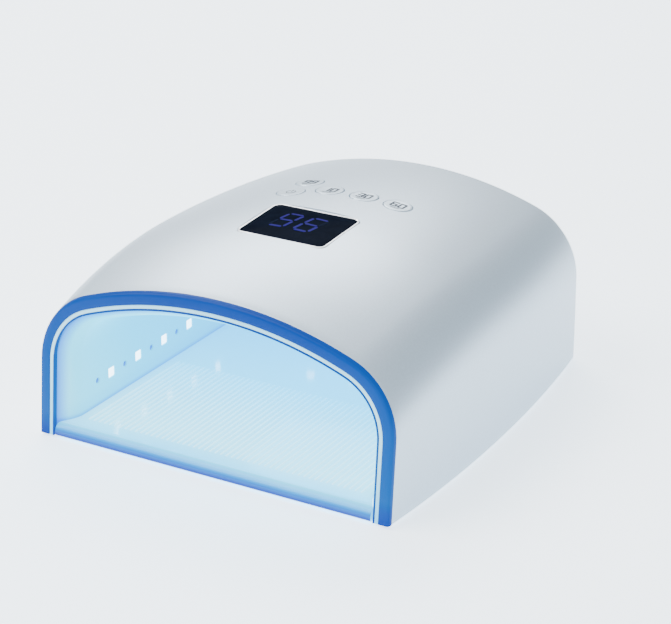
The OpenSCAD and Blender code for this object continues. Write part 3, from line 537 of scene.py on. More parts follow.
# painted glow on the lip: dark violet-blue at its foot, through blue to pale cyan at its top
LIP = glow_of("tray_lip_painted_glow", "Z", 1.5, 8.2, [(0.0, (0.015, 0.012, 0.26)), (0.22, (0.001, 0.045, 0.34)),
                                          (0.5, (0.001, 0.15, 0.52)), (0.78, (0.01, 0.42, 0.86)),
                                          (1.0, (0.14, 0.74, 1.0))],
              1.75, 0.45, rough=0.2, coat=0.04, spec=0.2, cloud_scale=25, cloud=0.05)
LED_WHITE = glow_of("led_white", "Z", 0, 80, [(0.0, (0.95, 0.98, 1.0)), (1.0, (0.90, 0.96, 1.0))],
                    5.0, 0.9, rough=0.2, coat=0.6, cloud_scale=300)
LED_BLUE = glow_of("led_blue", "Z", 0, 80, [(0.0, (0.01, 0.14, 0.62)), (1.0, (0.02, 0.20, 0.70))],
                   0.25, 0.8, rough=0.12, coat=0.9, cloud_scale=300)
DIGIT = glow_of("digit_blue", "Y", 60, 108, [(0.0, (0.03, 0.02, 0.60)), (1.0, (0.05, 0.02, 0.50))],
                0.12, 0.15, rough=0.5, coat=0.0, spec=0.02, cloud_scale=200)
DIGIT_OFF = finish_of("digit_off", (0.006, 0.009, 0.02), rough=0.3, vary=0.2, bump=0.002, spec=0.02, ior=1.08)

# ------------------------------------------------------------------ shell

FRONT_EDGE = 0.45


def shell_rows(t):
    """(y, inset, scale) of the rings of one skin, t inside the outer one."""
    e = FRONT_EDGE
    rows = [(RIM_T + e * (1 - math.cos(math.radians(a))),
             t + (e if t == 0 else -e) * (1 - math.sin(math.radians(a))), 1.0) for a in (0, 30, 60)]
    rows += [(RIM_T + e + (WIDE_Y - RIM_T - e) * i / 20, t, 1.0) for i in range(20)]
    rows += [(WIDE_Y + (PEAK_Y - WIDE_Y) * i / 3, t, 1.0) for i in range(3)]
    rows += [(PEAK_Y + (BODY_D - REAR_ROUND - PEAK_Y) * i / 28, t, 1.0) for i in range(29)]
    for i in range(1, 13):
        a = math.pi / 2 * i / 12
        rows.append((BODY_D - REAR_ROUND + (REAR_ROUND - t) * math.sin(a),
                     REAR_ROUND - (REAR_ROUND - t) * math.cos(a), 1.0))
    rows += [(BODY_D - t, REAR_ROUND, s) for s in (0.9, 0.75, 0.6, 0.45, 0.3, 0.15)]
    return rows


outer = [shell_ring(y, i, s, foot=0.5) for y, i, s in shell_rows(0.0)]
inner = [shell_ring(y, i, s, foot=-0.5) for y, i, s in shell_rows(SHELL_T)]
pts, faces, last, last_in = double_skin(outer, inner)
m, tip = len(outer[0]), len(pts)
pts += [(0, BODY_D, FOOT_H), (0, BODY_D - SHELL_T, FOOT_H)]
faces += [[last + j, last + j + 1, tip] for j in range(m - 1)]
faces += [[last_in + j, last_in + j + 1, tip + 1] for j in range(m - 1)]
faces += [[last, last_in, tip + 1, tip], [last + m - 1, last_in + m - 1, tip + 1, tip]]
shell = build("pearl_shell", pts, faces)


def roof_hole(name, outline, wider, cx, cy):
    """A cutter through the roof whose upper edge is eased."""
    return build(name, *stack([
        flat_loop(outline, cx, cy, BODY_H - 20), over_roof(outline, cx, cy, -0.30),
        over_roof(wider(0.08), cx, cy, -0.12), over_roof(wider(0.25), cx, cy, 0.04),
        flat_loop(wider(0.25), cx, cy, BODY_H + 6)]))


# the hole for the display's frame, the holes for the buttons and the hole for the inlet
open_w, open_d = WINDOW_W + 2 * BEZEL_W + 0.3, WINDOW_D + 2 * BEZEL_W + 0.3
cutters = [roof_hole("cut_window", rounded_rect(open_w, open_d, WINDOW_R + BEZEL_W, 8),
                     lambda g: rounded_rect(open_w + 2 * g, open_d + 2 * g, WINDOW_R + BEZEL_W + g, 8),
                     0, WINDOW_Y)]
hole_r = BUTTON_DIA / 2 + BUTTON_GAP
for key, (bx, by) in BUTTONS.items():
    cutters.append(roof_hole("cut_" + key, circle(hole_r), lambda g: circle(hole_r + g), bx, by))
cutters.append(build("cut_inlet", *lathe(
    [(0, -15), (INLET_HOLE_R, -15), (INLET_HOLE_R, 7), (0, 7)], 48,
    lambda r, a, h: (r * math.cos(a), BODY_D + h, INLET_Z + r * math.sin(a)))))
cut(shell, cutters, 28)

# the bosses inside the shell that the frame, the control board and the charge board are screwed to
BOSS_R, POST_R, PILOT_R, BOSS_TOP = 3.6, 3.0, 1.3, 34.0
BOSS_BORE, BOARD_BORE, CHARGE_BORE = 14, 6.5, 7
BOSS_Y, BOARD_POST_X, CHARGE_POST_X = (34.0, 108.0, BODY_D - 36), 34, 19
BOARD_TOP = LINER_ROOF_Z + 10.5 + 1.6
BOARD_Y = (WINDOW_Y - WINDOW_D / 2 - 8, WINDOW_Y + WINDOW_D / 2 + 58)
CHARGE_Y, CHARGE_POST_Z = BODY_D - 15.6, FRAME_TOP + 29


def boss(x, y, r, low, high, depth):
    """A round boss with a blind pilot hole from below."""
    profile = [(0, high), (r, high), (r, low + 0.3), (r - 0.3, low), (PILOT_R, low), (PILOT_R, low + depth),
               (0, low + depth)]
    return upright(profile, x, y, 32)


def wall_x(y):
    """Half width of the shell where the rear bow carries it to y, near the foot."""
    return half_w(y + REAR_BOW_W * (y / BODY_D) ** 4)


bosses = []
for side in (-1, 1):
    for y in BOSS_Y:
        x = wall_x(y) - SHELL_T - BOSS_R + 0.7
        bosses.append(boss(side * x, y, BOSS_R, FRAME_TOP, BOSS_TOP, BOSS_BORE))
    for y in (BOARD_Y[0] + 4, BOARD_Y[1] - 4):
        top = roof_z(BOARD_POST_X, y) - 1.8
        bosses.append(boss(side * BOARD_POST_X, y, POST_R, BOARD_TOP, top, BOARD_BORE))
    wall, bore_end = BODY_D - SHELL_T - 0.2, CHARGE_Y + CHARGE_BORE
    profile = [(0, wall), (POST_R, wall), (POST_R, CHARGE_Y + 0.3), (POST_R - 0.3, CHARGE_Y),
               (PILOT_R, CHARGE_Y), (PILOT_R, bore_end), (0, bore_end)]
    bosses.append(lathe(profile, 32, lambda q, a, h: (side * CHARGE_POST_X + q * math.cos(a), h,
                                                      CHARGE_POST_Z + q * math.sin(a))))
boss_piece = join_parts("shell_bosses", bosses)
piece(shell, PEARL, nodes=["outer_shell"])
piece(boss_piece, PEARL)

# ------------------------------------------------------------------ lit rim


def band(name, profile, angle=32):
    """A closed band round the mouth. profile is a closed list of (inset, y)."""
    rings = [shell_ring(y, i) for i, y in profile]
    n = len(rings[0])
    p = [q for r in rings for q in r]
    f = skin(rings, closed=True)
    f += [[i * n for i in range(len(rings))], [i * n + n - 1 for i in range(len(rings))]]
    return build(name, p, f, angle)


def quarter(ci, cy, r, a0, a1, n=5):
    """An arc in the (inset, y) plane, angle 0 towards more inset and 90 towards the rear."""
    angles = [math.radians(a0 + (a1 - a0) * i / n) for i in range(n + 1)]
    return [(ci + r * math.cos(a), cy + r * math.sin(a)) for a in angles]


groove_end = GROOVE_AT + GROOVE_W
rim_profile = (quarter(1.35, 1.35, 1.35, 180, 270, 7) + quarter(GROOVE_AT - 0.3, 0.3, 0.3, 270, 360, 3)
               + [(GROOVE_AT, GROOVE_DEEP), (groove_end, GROOVE_DEEP)]
               + quarter(groove_end + 0.2, 0.2, 0.2, 180, 270, 3)
               + quarter(RIM_BAND - 0.3, 0.3, 0.3, 270, 360, 3) + [(RIM_BAND, RIM_T), (0, RIM_T)])
rim = band("blue_rim", rim_profile, 40)
piece(rim, RIM_BLUE, nodes=["light_rim"])
line = band("rim_light_line", quarter(GROOVE_AT + 0.35, 0.55, 0.3, 180, 270, 3)
            + quarter(groove_end - 0.35, 0.55, 0.3, 270, 360, 3)
            + [(groove_end - 0.05, GROOVE_DEEP - 0.02), (GROOVE_AT + 0.05, GROOVE_DEEP - 0.02)])
piece(line, LIGHT_LINE, nodes=["rim_diffuser"])

# ------------------------------------------------------------------ inner liner


def liner_rows(t):
    """(y, inset) of the rings of one skin, t inside the inner one."""
    rows = [(MOUTH_Y + FLARE_L * i / 12, t) for i in range(13)]
    rows += [(FLARE_END + (LINER_D - LINER_ROUND - FLARE_END) * i / 14, t) for i in range(1, 15)]
    for i in range(1, 11):
        a = math.pi / 2 * i / 10
        rows.append((LINER_D - LINER_ROUND + (LINER_ROUND - t) * math.sin(a),
                     LINER_ROUND - (LINER_ROUND - t) * math.cos(a)))
    return rows


outer = [liner_ring(y, i) for y, i in liner_rows(-LINER_T)]
inner = [liner_ring(y, i) for y, i in liner_rows(0.0)]
pts, faces, last, last_in = double_skin(outer, inner)
m = len(outer[0])
faces += [[last + j for j in range(m)], [last_in + j for j in range(m)],
          [last, last_in, last_in + m - 1, last + m - 1]]
liner = build("liner", pts, faces)

SENSOR_X, SENSOR_Y, SENSOR_HOLE_R = 5, 30, 1.7
h, bead_r, reach = LED_HOLE_HALF, ROUND_LED / 2 + LED_PLAY / 2, LED_H + 1
windows = []
for side in (-1, 1):
    wall = side * LINER_OUT
    for i in range(SIDE_LEDS):
        y = LED_FIRST + LED_PITCH * (i + 0.5)
        windows.append(block((wall - reach, y - h, LED_Z - h), (wall + reach, y + h, LED_Z + h), 0.3))
    for i in range(SIDE_LEDS + 1):
        y = LED_FIRST + LED_PITCH * i
        windows.append(lathe([(0, -reach), (bead_r, -reach), (bead_r, reach), (0, reach)], 28,
                             lambda r, a, q: (wall + q, y + r * math.cos(a), LED_Z + r * math.sin(a))))
    for y in ROOF_LED_Y:
        windows.append(stack([[roof_place(side, y, u, v, up) for u, v in rounded_rect(2 * h, 2 * h, 0.3, 3)]
                              for up in (-reach - 0.5, reach + 0.5)]))
    windows.append(plug(SENSOR_HOLE_R, LINER_ROOF_Z - 4, LINER_ROOF_Z + 4, side * SENSOR_X, SENSOR_Y, 28))
for x in REAR_LED_X:
    windows.append(block((x - h, BAY_Y - reach, REAR_LED_Z - h), (x + h, BAY_Y + reach, REAR_LED_Z + h), 0.3))
cut(liner, [join_parts("cut_leds", windows)], 28)
piece(liner, LINER, nodes=["inner_liner"])

# the feet of the liner that its screws hold
EAR_Y, EAR_W, EAR_L, EAR_H = (60.0, 140.0), 7.0, 9.0, 7
ears = []
for side in (-1, 1):
    x = side * (LINER_OUT + 3.0)
    for y in EAR_Y:
        ears.append(block((x - EAR_W / 2, y - EAR_L / 2, FRAME_TOP),
                          (x + EAR_W / 2, y + EAR_L / 2, FRAME_TOP + EAR_H), 0.4))
piece(join_parts("liner_bosses", ears), LINER)

# ------------------------------------------------------------------ LEDs


def package(place):
    """A square LED package: a rounded body with a low lens over its well. place takes (u, v, up)."""
    steps = [(LED - 0.5, 0.3, 0.0), (LED, 0.5, 0.2), (LED, 0.5, LED_H - 0.45), (LED - 0.5, 0.5, LED_H - 0.2),
             (LED - 1.0, 0.9, LED_H - 0.2), (LED - 1.1, 1.0, LED_H - 0.08), (LED - 1.9, 1.1, LED_H)]
    return stack([[place(u, v, up) for u, v in rounded_rect(size, size, r, 4)] for size, r, up in steps])


def bead(place):
    """A small round LED with a domed end. place takes (u, v, up)."""
    r = ROUND_LED / 2
    profile = [(0, 0), (r, 0), (r, LED_H * 0.45)]
    for angle in (20, 40, 60, 75):
        a = math.radians(angle)
        profile.append((r * math.cos(a), LED_H * (0.45 + 0.55 * math.sin(a))))
    profile.append((0, LED_H))
    return lathe(profile, 28, lambda q, a, h: place(q * math.cos(a), q * math.sin(a), h))


def side_place(side, step):
    """The place of a side LED, so many pitches from the first."""
    y = LED_FIRST + LED_PITCH * step
    return lambda u, v, up: (side * (LINER_OUT - up), y + u, LED_Z + v)


def leds(kind, word, parts):
    """One piece from the LEDs of a kind in one place."""
    mat, slot = (LED_WHITE, "led_white") if kind == "square" else (LED_BLUE, "led_blue")
    piece(join_parts("leds_" + kind + "_" + word, parts), mat, nodes=[kind + "_leds_" + word])


for side, word in ((-1, "left"), (1, "right")):
    leds("square", word, [package(side_place(side, i + 0.5)) for i in range(SIDE_LEDS)])
    leds("round", word, [bead(side_place(side, i)) for i in range(SIDE_LEDS + 1)])
parts = [package(lambda u, v, up: (x + u, BAY_Y - up, REAR_LED_Z + v)) for x in REAR_LED_X]
leds("square", "rear", parts)
parts = [package(lambda u, v, up: roof_place(side, y, u, v, -up)) for side in (-1, 1) for y in ROOF_LED_Y]
leds("square", "roof", parts)

# ------------------------------------------------------------------ base tray


def tray_half(y, inset=0.0):
    """Half width of the tray's plan at y."""
    w, r = TRAY_HALF_W - inset, TRAY_CORNER_R - inset
    if y <= MOUTH_Y:
        return w + LIP_HALF_W - TRAY_HALF_W
    if y < FLARE_END:
        return w + (LIP_HALF_W - TRAY_HALF_W) * flare(y)
    start = TRAY_BACK - TRAY_CORNER_R
    if y > start:
        return TRAY_HALF_W - TRAY_CORNER_R + math.sqrt(max(0.0, r * r - (y - start) ** 2))
    return w


def tray_plan(inset=0.0, front=0.0):
    """The tray's outline from front right round the back to front left."""
    ys = [front + (MOUTH_Y - front) * i / 2 for i in range(2)] if front < MOUTH_Y else []
    ys += [y for y in (MOUTH_Y + FLARE_L * i / 10 for i in range(11)) if y >= front]
    right = [(tray_half(y, inset), y) for y in ys]
    r = TRAY_CORNER_R - inset
    for i in range(13):
        a = math.pi / 2 * i / 12
        right.append((TRAY_HALF_W - TRAY_CORNER_R + r * math.cos(a),
                      TRAY_BACK - TRAY_CORNER_R + r * math.sin(a)))
    return right + [(-x, y) for x, y in reversed(right)]


rise = FLOOR_Z - FOOT_H - LIP_FOOT


def lip_y(z):
    """How far the rounded lip stands back at a height."""
    if z <= FOOT_H + LIP_FOOT:
        return max(0.0, 0.8 * (1 - (z - FOOT_H) / 0.8)) if z < FOOT_H + 0.8 else 0.0
    return LIP_ROUND * (1 - math.sqrt(max(0.0, 1 - ((z - FOOT_H - LIP_FOOT) / rise) ** 2)))


levels = [FOOT_H, FOOT_H + 0.3, FOOT_H + 0.8, FOOT_H + LIP_FOOT]
levels += [FOOT_H + LIP_FOOT + rise * math.sin(math.radians(a)) for a in range(6, 90, 7)]
plan = tray_plan()


def tray_loop(z, shrink):
    """The plan at a height: the front stands back with the lip, the rim is eased by shrink."""
    back = lip_y(z)
    loop = []
    for x, y in plan:
        half, front = abs(x), max(y, back)
        if y < TRAY_BACK - TRAY_CORNER_R:
            half = min(half, tray_half(min(front, TRAY_BACK)))
        loop.append((math.copysign(half - shrink, x), front, z))
    return loop


TRAY_EASE = 0.5
loops = [tray_loop(z, 0.0) for z in levels if z < FLOOR_Z - TRAY_EASE]
for angle in (0, 30, 60, 90):
    a = math.radians(angle)
    loops.append(tray_loop(FLOOR_Z - TRAY_EASE + TRAY_EASE * math.sin(a), TRAY_EASE * (1 - math.cos(a))))
tray = build("tray_body", *stack(loops), angle=34)

cavity = build("cut_cavity", *stack([[(x, max(y, LIP_D), z) for x, y in tray_plan(SKIRT_T, LIP_D)]
                                     for z in (-1.0, FLOOR_Z - FLOOR_T)]))
# what stays solid under the floor round the magnets and the pads, then the pockets these sit in
keep = [block((x - 8, TRAY_BACK - 5.5, -2), (x + 8, TRAY_BACK + 3, 7), 0.2) for x in MAGNET_X]
keep += [plug(5.5, -2, 7, x, y) for x in PAD_X for y in PAD_Y]
cut(cavity, [join_parts("cut_keep", keep)])
holes = [block((x - 4.1, TRAY_BACK - 4, FOOT_H + 0.4), (x + 4.1, TRAY_BACK + 3, FOOT_H + 4.6), 0.1)
         for x in MAGNET_X]
holes += [plug(4.1, -1, FOOT_H + 1, x, y) for x in PAD_X for y in PAD_Y]
cut(tray, [cavity, join_parts("cut_holes", holes)], 34)
piece(tray, TRAY_TOP, "tray", nodes=["base_tray"])
# the lip has its own painted glow, dark at the foot and pale cyan at the top, on the faces that look to the
# front
tray.data.materials.append(LIP)
lip_end = (LIP_ROUND - 0.4 - BODY_D / 2) * MM
for poly in tray.data.polygons:
    if poly.center.y < lip_end and abs(poly.normal.z) < 0.96 and poly.normal.y < -0.02:
        poly.material_index = 1

RIB_SECTION = [(-0.5, -0.2), (-0.42, 0.16), (-0.22, 0.35), (0, RIB_H),
               (0.22, 0.35), (0.42, 0.16), (0.5, -0.2)]
RIB_START, RIB_FADE = LIP_D + 3, 0.8
rib_steps = [(RIB_START, 0.1), (RIB_START + RIB_FADE, 1.0),
             (RIB_START + RIB_L - RIB_FADE, 1.0), (RIB_START + RIB_L, 0.1)]
ribs = []
count = int((TRAY_HALF_W - 4) / RIB_PITCH)
for i in range(-count, count + 1):
    ribs.append(stack([[(i * RIB_PITCH + u, y, FLOOR_Z + (v * s if v > 0 else v)) for u, v in RIB_SECTION]
                       for y, s in rib_steps]))
piece(join_parts("tray_ribs", ribs, 50), RIB, "tray")

# ------------------------------------------------------------------ display


def win(g, n=8):
    """The window's outline, g wider all round."""
    return rounded_rect(WINDOW_W + 2 * g, WINDOW_D + 2 * g, WINDOW_R + g, n)


def crowned(name, outline, cx, cy, lift, thick, edge=0.25, rows=10, angle=34):
    """A plate whose top follows the roof all over: loops shrink to the centre."""
    loops = [[(cx + x, cy + y, roof_z(cx + x, cy + y) - thick) for x, y in outline(0)]]
    loops.append(over_roof(outline(0), cx, cy, lift - edge))
    loops.append(over_roof(outline(-edge * 0.3), cx, cy, lift - edge * 0.3))
    base = outline(-edge)
    for i in range(rows):
        s = 1 - i / rows
        loops.append([(cx + x * s, cy + y * s, roof_z(cx + x * s, cy + y * s) + lift) for x, y in base])
    pts, faces = stack(loops, cap=False)
    n = len(base)
    pts.append((cx, cy, roof_z(cx, cy) + lift))
    top = len(pts) - 1
    first = (len(loops) - 1) * n
    faces += [[first + j, first + (j + 1) % n, top] for j in range(n)]
    faces.append(list(range(n)))
    return build(name, pts, faces, angle)


GLASS_LIFT, GLASS_T = 0.12, 2.1
glass = crowned("display_glass", win, 0, WINDOW_Y, GLASS_LIFT, GLASS_T)
piece(glass, GLASS_BLACK, nodes=["display_window"])

# (gap to the window's outline, lift) round the section of the frame
BEZEL_IN, BEZEL_DEEP = 0.1, 3.2
section = [(BEZEL_IN, -BEZEL_DEEP), (BEZEL_W, -BEZEL_DEEP), (BEZEL_W, 0.1), (BEZEL_W - 0.15, 0.26),
           (BEZEL_W - 0.4, 0.32), (BEZEL_IN + 0.25, 0.30), (BEZEL_IN, 0.16)]
loops = [over_roof(win(gap), 0, WINDOW_Y, lift) for gap, lift in section]
pts, faces = stack(loops, cap=False)
n = len(loops[0])
first = (len(loops) - 1) * n
faces += [[j, (j + 1) % n, first + (j + 1) % n, first + j] for j in range(n)]
piece(build("display_frame", pts, faces, 40), BEZEL, nodes=["display_bezel"])

SEGMENTS = {"a": ((0, 1), (1, 1)), "b": ((1, 1), (1, 0.5)), "c": ((1, 0.5), (1, 0)), "d": ((0, 0), (1, 0)),
            "e": ((0, 0.5), (0, 0)), "f": ((0, 1), (0, 0.5)), "g": ((0, 0.5), (1, 0.5))}
NUMERAL = {"0": "abcdef", "1": "bc", "3": "abcdg", "6": "acdefg", "9": "abcdfg"}
DIGIT_W, DIGIT_H, DIGIT_STROKE, DIGIT_SPACE, SLANT = 8.0, 15.5, 1.5, 13.6, 0.2
SEGMENT_GAP, SEGMENT_DEEP, LIT_LIFT, OFF_LIFT = 0.5, 0.25, 0.16, 0.13


def segment(start, end, w, cx, cy, lift):
    """A six-sided bar over the roof from one point of a digit to another."""
    d = Vector((end[0] - start[0], end[1] - start[1]))
    near, far = SEGMENT_GAP, d.length - SEGMENT_GAP
    d.normalize()
    side = Vector((-d.y, d.x))
    outline = []
    for t, s in ((near, 0), (near + w / 2, w / 2), (far - w / 2, w / 2), (far, 0),
                 (far - w / 2, -w / 2), (near + w / 2, -w / 2)):
        q = Vector(start) + d * t + side * s
        outline.append((cx + q.x, cy + q.y))
    return stack([over_roof(outline, 0, 0, h) for h in (-SEGMENT_DEEP, lift)])


def slanted(u, v):
    """A point of a digit from its place across and up the digit, each 0 to 1."""
    return (u - 0.5) * DIGIT_W + (v - 0.5) * DIGIT_H * SLANT, (v - 0.5) * DIGIT_H


lit, off = [], []
for centre, shown in ((-DIGIT_SPACE / 2, "9"), (DIGIT_SPACE / 2, "6")):
    for name, (start, end) in SEGMENTS.items():
        parts, lift = (lit, LIT_LIFT) if name in NUMERAL[shown] else (off, OFF_LIFT)
        parts.append(segment(slanted(*start), slanted(*end), DIGIT_STROKE, centre, WINDOW_Y, lift))
piece(join_parts("display_digits", lit), DIGIT)
piece(join_parts("display_digits_off", off), DIGIT_OFF)

# ------------------------------------------------------------------ buttons

TACT_TOP = BOARD_TOP + 3.5
PLUNGER_TOP = TACT_TOP + 1.0
CAP_R = BUTTON_DIA / 2


def button(name, cx, cy):
    """A round cap whose dished top follows the roof, on its flange and stem."""
    flange_top = roof_z(abs(cx) + 0.75 * FLANGE_R, cy + 0.75 * FLANGE_R) - SHELL_T - FLANGE_GAP
    n = 64
    rows = []

    def ring(r, z=None, lift=0.0):
        row = []
        for i in range(n):
            a = 2 * math.pi * i / n
            x, y = cx + r * math.cos(a), cy + r * math.sin(a)
            row.append((x, y, roof_z(x, y) + lift if z is None else z))
        rows.append(row)

    ring(STEM_R, PLUNGER_TOP)
    ring(STEM_R, flange_top - FLANGE_T)
    ring(FLANGE_R - 0.2, flange_top - FLANGE_T)
    ring(FLANGE_R, flange_top - FLANGE_T + 0.2)
    ring(FLANGE_R, flange_top)
    ring(CAP_R, flange_top)
    ring(CAP_R, lift=CAP_PROUD - 0.55)
    for angle in (30, 60, 90):
        a = math.radians(angle)
        ring(CAP_R - 0.5 * (1 - math.cos(a)), lift=CAP_PROUD - 0.55 + 0.5 * math.sin(a))
    for r in (5.6, 4.6, 3.4, 2.2, 1.1):
        ring(r, lift=CAP_PROUD - 0.05 - 0.22 * (1 - (r / 6.4) ** 2))
    pts, faces = stack(rows, cap=False)
    faces.append(list(range(n)))
    pts.append((cx, cy, roof_z(cx, cy) + CAP_PROUD - 0.27))
    first = (len(rows) - 1) * n
    faces += [[first + i, first + (i + 1) % n, len(pts) - 1] for i in range(n)]
    return build(name, pts, faces, 40)


def dish(cx, cy, x, y):
    """Height of a cap's top over the plan."""
    r = math.hypot(x - cx, y - cy)
    return roof_z(x, y) + CAP_PROUD - 0.05 - 0.22 * (1 - min(1.0, r / 6.4) ** 2)


def drape(outline, cx, cy, proud, depth=0.2):
    """A solid inlay standing a little over a cap, from a closed outline."""
    return stack([[(x, y, dish(cx, cy, x, y) + h) for x, y in outline] for h in (-depth, proud)])


def bar(x0, y0, x1, y1, w):
    """Outline of a straight stroke with rounded ends."""
    d = Vector((x1 - x0, y1 - y0))
    a0 = math.atan2(d.y, d.x)
    out = []
    for (px, py), start in (((x1, y1), a0 - math.pi / 2), ((x0, y0), a0 + math.pi / 2)):
        for i in range(6):
            a = start + math.pi * i / 5
            out.append((px + w / 2 * math.cos(a), py + w / 2 * math.sin(a)))
    return out


def numeral(ch, cx, cy, w, h, stroke):
    """Strokes of one plain numeral."""
    out = []
    for name in NUMERAL[ch]:
        (ax, ay), (bx, by) = SEGMENTS[name]
        x0, x1 = cx + (ax - 0.5) * w, cx + (bx - 0.5) * w
        y0, y1 = cy + (ay - 0.5) * h, cy + (by - 0.5) * h
        d = Vector((x1 - x0, y1 - y0)).normalized() * 0.02
        out.append(bar(x0 + d.x, y0 + d.y, x1 - d.x, y1 - d.y, stroke))
    return out


MARK_W, MARK_H, MARK_STROKE, MARK_SPACE, MARK_UP = 2.7, 5.0, 1.0, 4.1, 0.6
LINE_W, LINE_HALF, LINE_DOWN, POWER_R, POWER_TOP = 0.5, 2.4, 3.7, 2.3, 3.0
for key, (cx, cy) in BUTTONS.items():
    body = "key_" + key
    piece(button("cap_" + key, cx, cy), PEARL_CAP, body, nodes=["button_" + key])
    strokes = []
    if key == "power":
        arc = []
        for angle in range(125, 416, 15):
            a = math.radians(angle)
            arc.append((cx + POWER_R * math.cos(a), cy + POWER_R * math.sin(a)))
        strokes = [bar(*p, *q, LINE_W) for p, q in zip(arc, arc[1:])]
        strokes.append(bar(cx, cy + MARK_UP, cx, cy + POWER_TOP, LINE_W))
    else:
        for i, ch in enumerate(key[:-1]):
            x = cx + (i - 0.5) * MARK_SPACE
            strokes += numeral(ch, x, cy + MARK_UP, MARK_W, MARK_H, MARK_STROKE)
        strokes.append(bar(cx - LINE_HALF, cy - LINE_DOWN, cx + LINE_HALF, cy - LINE_DOWN, LINE_W))
    # each stroke stands at a height of its own, so that no two tops share a plane
    marks = [drape(stroke, cx, cy, 0.05 + 0.002 * (j % 5)) for j, stroke in enumerate(strokes)]
    piece(join_parts("mark_" + key, marks, 50), MARK, body)

# ------------------------------------------------------------------ feet and pads

FOOT_PROFILE = [(0, 0.15), (2.6, 0.15), (2.9, 0), (3.9, 0), (4.3, 0.15), (FOOT_R, 0.6),
                (FOOT_R, FOOT_H + 1), (0, FOOT_H + 1)]
PAD_PROFILE = [(0, 0), (3.4, 0), (3.8, 0.15), (4.0, 0.5), (4.0, FOOT_H + 1), (0, FOOT_H + 1)]
feet = []
for side in (-1, 1):
    for y in (FLARE_END + FOOT_R + 4, BODY_D - 24):
        feet.append(upright(FOOT_PROFILE, side * (half_w(y) - SHELL_T - FOOT_R - FOOT_GAP), y))
piece(join_parts("rubber_pads", feet, 40), RUBBER, nodes=["rubber_feet"])
pads = [upright(PAD_PROFILE, x, y) for x in PAD_X for y in PAD_Y]
piece(join_parts("tray_pads", pads, 40), FEET_CLEAR, "tray", nodes=["tray_feet"])


# ------------------------------------------------------------------ the other parts, from their CAD nodes

EASE_ANGLE, EASE_SEGMENTS = 40, 2


def refined(node, mat, width):
    """A copy of a CAD node with its sharp edges eased; the plain copy where easing would open the mesh."""
    src = NODE[node]
    body = [b for b, names in frame["record"]["behaviour"]["bodies"].items() if node in names][0]

    def closed(b):
        return all(len(e.link_faces) == 2 for e in b.edges) and all(f.calc_area() > 1e-14 for f in b.faces)

    for amount in (width, width / 2, 0):
        bm = bmesh.new()
        bm.from_mesh(src.data)
        bmesh.ops.remove_doubles(bm, verts=bm.verts, dist=2e-6)
        if amount:
            bmesh.ops.dissolve_limit(bm, angle_limit=math.radians(0.5), verts=bm.verts, edges=bm.edges)
            edges = [e for e in bm.edges
                     if len(e.link_faces) == 2 and e.calc_face_angle(0) > math.radians(EASE_ANGLE)]
            bmesh.ops.bevel(bm, geom=edges, offset=amount * MM, segments=EASE_SEGMENTS, profile=0.5,
                            affect="EDGES", clamp_overlap=True)
            bmesh.ops.triangulate(bm, faces=[f for f in bm.faces if len(f.verts) > 4])
            if not closed(bm):
                bm.free()
                continue
        break
    mesh = bpy.data.meshes.new(node + "_look")
    bm.to_mesh(mesh)
    bm.free()
    crease(mesh, 32)
    piece(linked(node + "_look", mesh), mat, body, nodes=[node])


LOOKS = {
    "bottom_frame": (FRAME_GREY, 0.3, "frame_grey"), "tray_magnets": (NICKEL, 0.3, "nickel"),
    "catch_plates": (STEEL, 0.15, "steel"), "display_module": (BLACK, 0.4, "module_black"),
    "control_board": (PCB_GREEN, 0.15, "pcb_green"), "tact_switches": (BLACK, 0.2, "module_black"),
    **{"led_board_" + word: (PCB_WHITE, 0.15, "pcb_white")
       for word in ("left", "right", "rear", "roof_left", "roof_right")},
    "hand_sensor": (SENSOR, 0.2, "module_black"),
    "battery_cells": (WRAP, 0.5, "cell_wrap"), "cell_tabs": (NICKEL, 0.05, "nickel"),
    "battery_cradle": (BLACK, 0.25, "cradle_black"), "battery_strap": (STRAP, 0.1, "strap_black"),
    "battery_board": (PCB_BLUE, 0.12, "pcb_blue"), "charge_board": (PCB_GREEN, 0.15, "pcb_green"),
    "dc_inlet": (BLACK, 0.25, "module_black"), "dc_pin": (BRASS, 0.25, "pin_brass"),
    **{word + "_screws": (STEEL, 0.12, "steel")
       for word in ("frame", "liner", "control_board", "charge_board")},
    **{word: (WIRE, 0, "wire_red")
       for word in ("led_wires_left", "led_wires_right", "battery_wires", "inlet_wires")},
    **{"plunger_" + key: (PLUNGER, 0.2, "plunger_white") for key in BUTTONS},
}
for node, (mat, width, slot) in LOOKS.items():
    refined(node, mat, width)

# ------------------------------------------------------------------ floor, light and camera

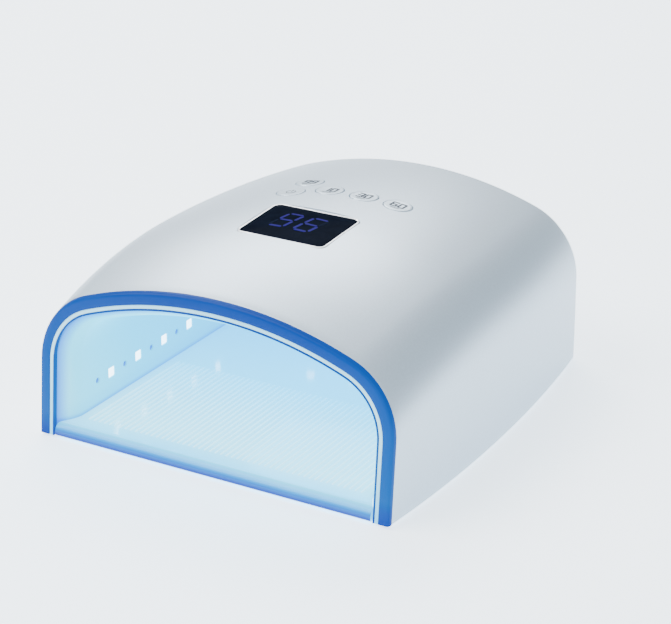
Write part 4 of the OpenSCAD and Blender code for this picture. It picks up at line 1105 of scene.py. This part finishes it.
FLOOR_HALF = 3.0
mesh = bpy.data.meshes.new("floor")
mesh.from_pydata([(sx * FLOOR_HALF, sy * FLOOR_HALF, 0) for sx, sy in ((-1, -1), (1, -1), (1, 1), (-1, 1))],
                 [], [(0, 1, 2, 3)])
floor = linked("floor", mesh)
floor_finish = finish_of("floor_pale", (0.86, 0.87, 0.89), rough=0.7, vary=0.01, scale=12, bump=0.02,
                         grain=300)
floor_shader = floor_finish.node_tree.nodes["Principled BSDF"]
floor_shader.inputs["Emission Color"].default_value = (0.76, 0.89, 1.0, 1)
floor_shader.inputs["Emission Strength"].default_value = 2.5
floor.data.materials.append(floor_finish)

sky = bpy.data.worlds.new("studio")
bpy.context.scene.world = sky
sky.use_nodes = True
sky.node_tree.nodes["Background"].inputs["Color"].default_value = (0.82, 0.92, 1.0, 1)
sky.node_tree.nodes["Background"].inputs["Strength"].default_value = 0.6


def lamp(name, at, to, size, power, colour=(1, 1, 1)):
    """A rectangular light, at one point and turned to another."""
    data = bpy.data.lights.new(name, "AREA")
    data.shape, data.size, data.size_y = "RECTANGLE", size[0], size[1]
    data.energy, data.color = power, colour
    obj = linked(name, data)
    obj.location = at
    obj.rotation_mode = "QUATERNION"
    obj.rotation_quaternion = (Vector(to) - Vector(at)).to_track_quat("-Z", "Y")


lamp("key", (-0.8, -0.7, 1.3), (0, 0, 0.05), (1.2, 1.0), 40)
lamp("back_box", (-1.1, 1.5, 1.75), (0, 0, 0.05), (1.7, 1.0), 72)
lamp("front_fill", (0.9, -1.5, 0.9), (0, 0, 0.05), (1.0, 0.7), 10, (0.92, 0.96, 1.0))
lamp("curing_light", (0, -0.02, 0.066), (0, -0.03, 0), (0.09, 0.12), 0.10, (0.20, 0.60, 1.0))

AZIMUTH, ELEVATION, DISTANCE, LENS = 30.0, 23.0, 1.05, 114.0
target = Vector((0.004, 0.002, 0.044))
a, e = math.radians(AZIMUTH), math.radians(ELEVATION)
back = Vector((math.sin(a) * math.cos(e), -math.cos(a) * math.cos(e), math.sin(e)))
cam_data = bpy.data.cameras.new("camera")
cam_data.lens = LENS
camera = linked("camera", cam_data)
camera.location = target + back * DISTANCE
camera.rotation_mode = "QUATERNION"
camera.rotation_quaternion = (-back).to_track_quat("-Z", "Y")
bpy.context.scene.camera = camera
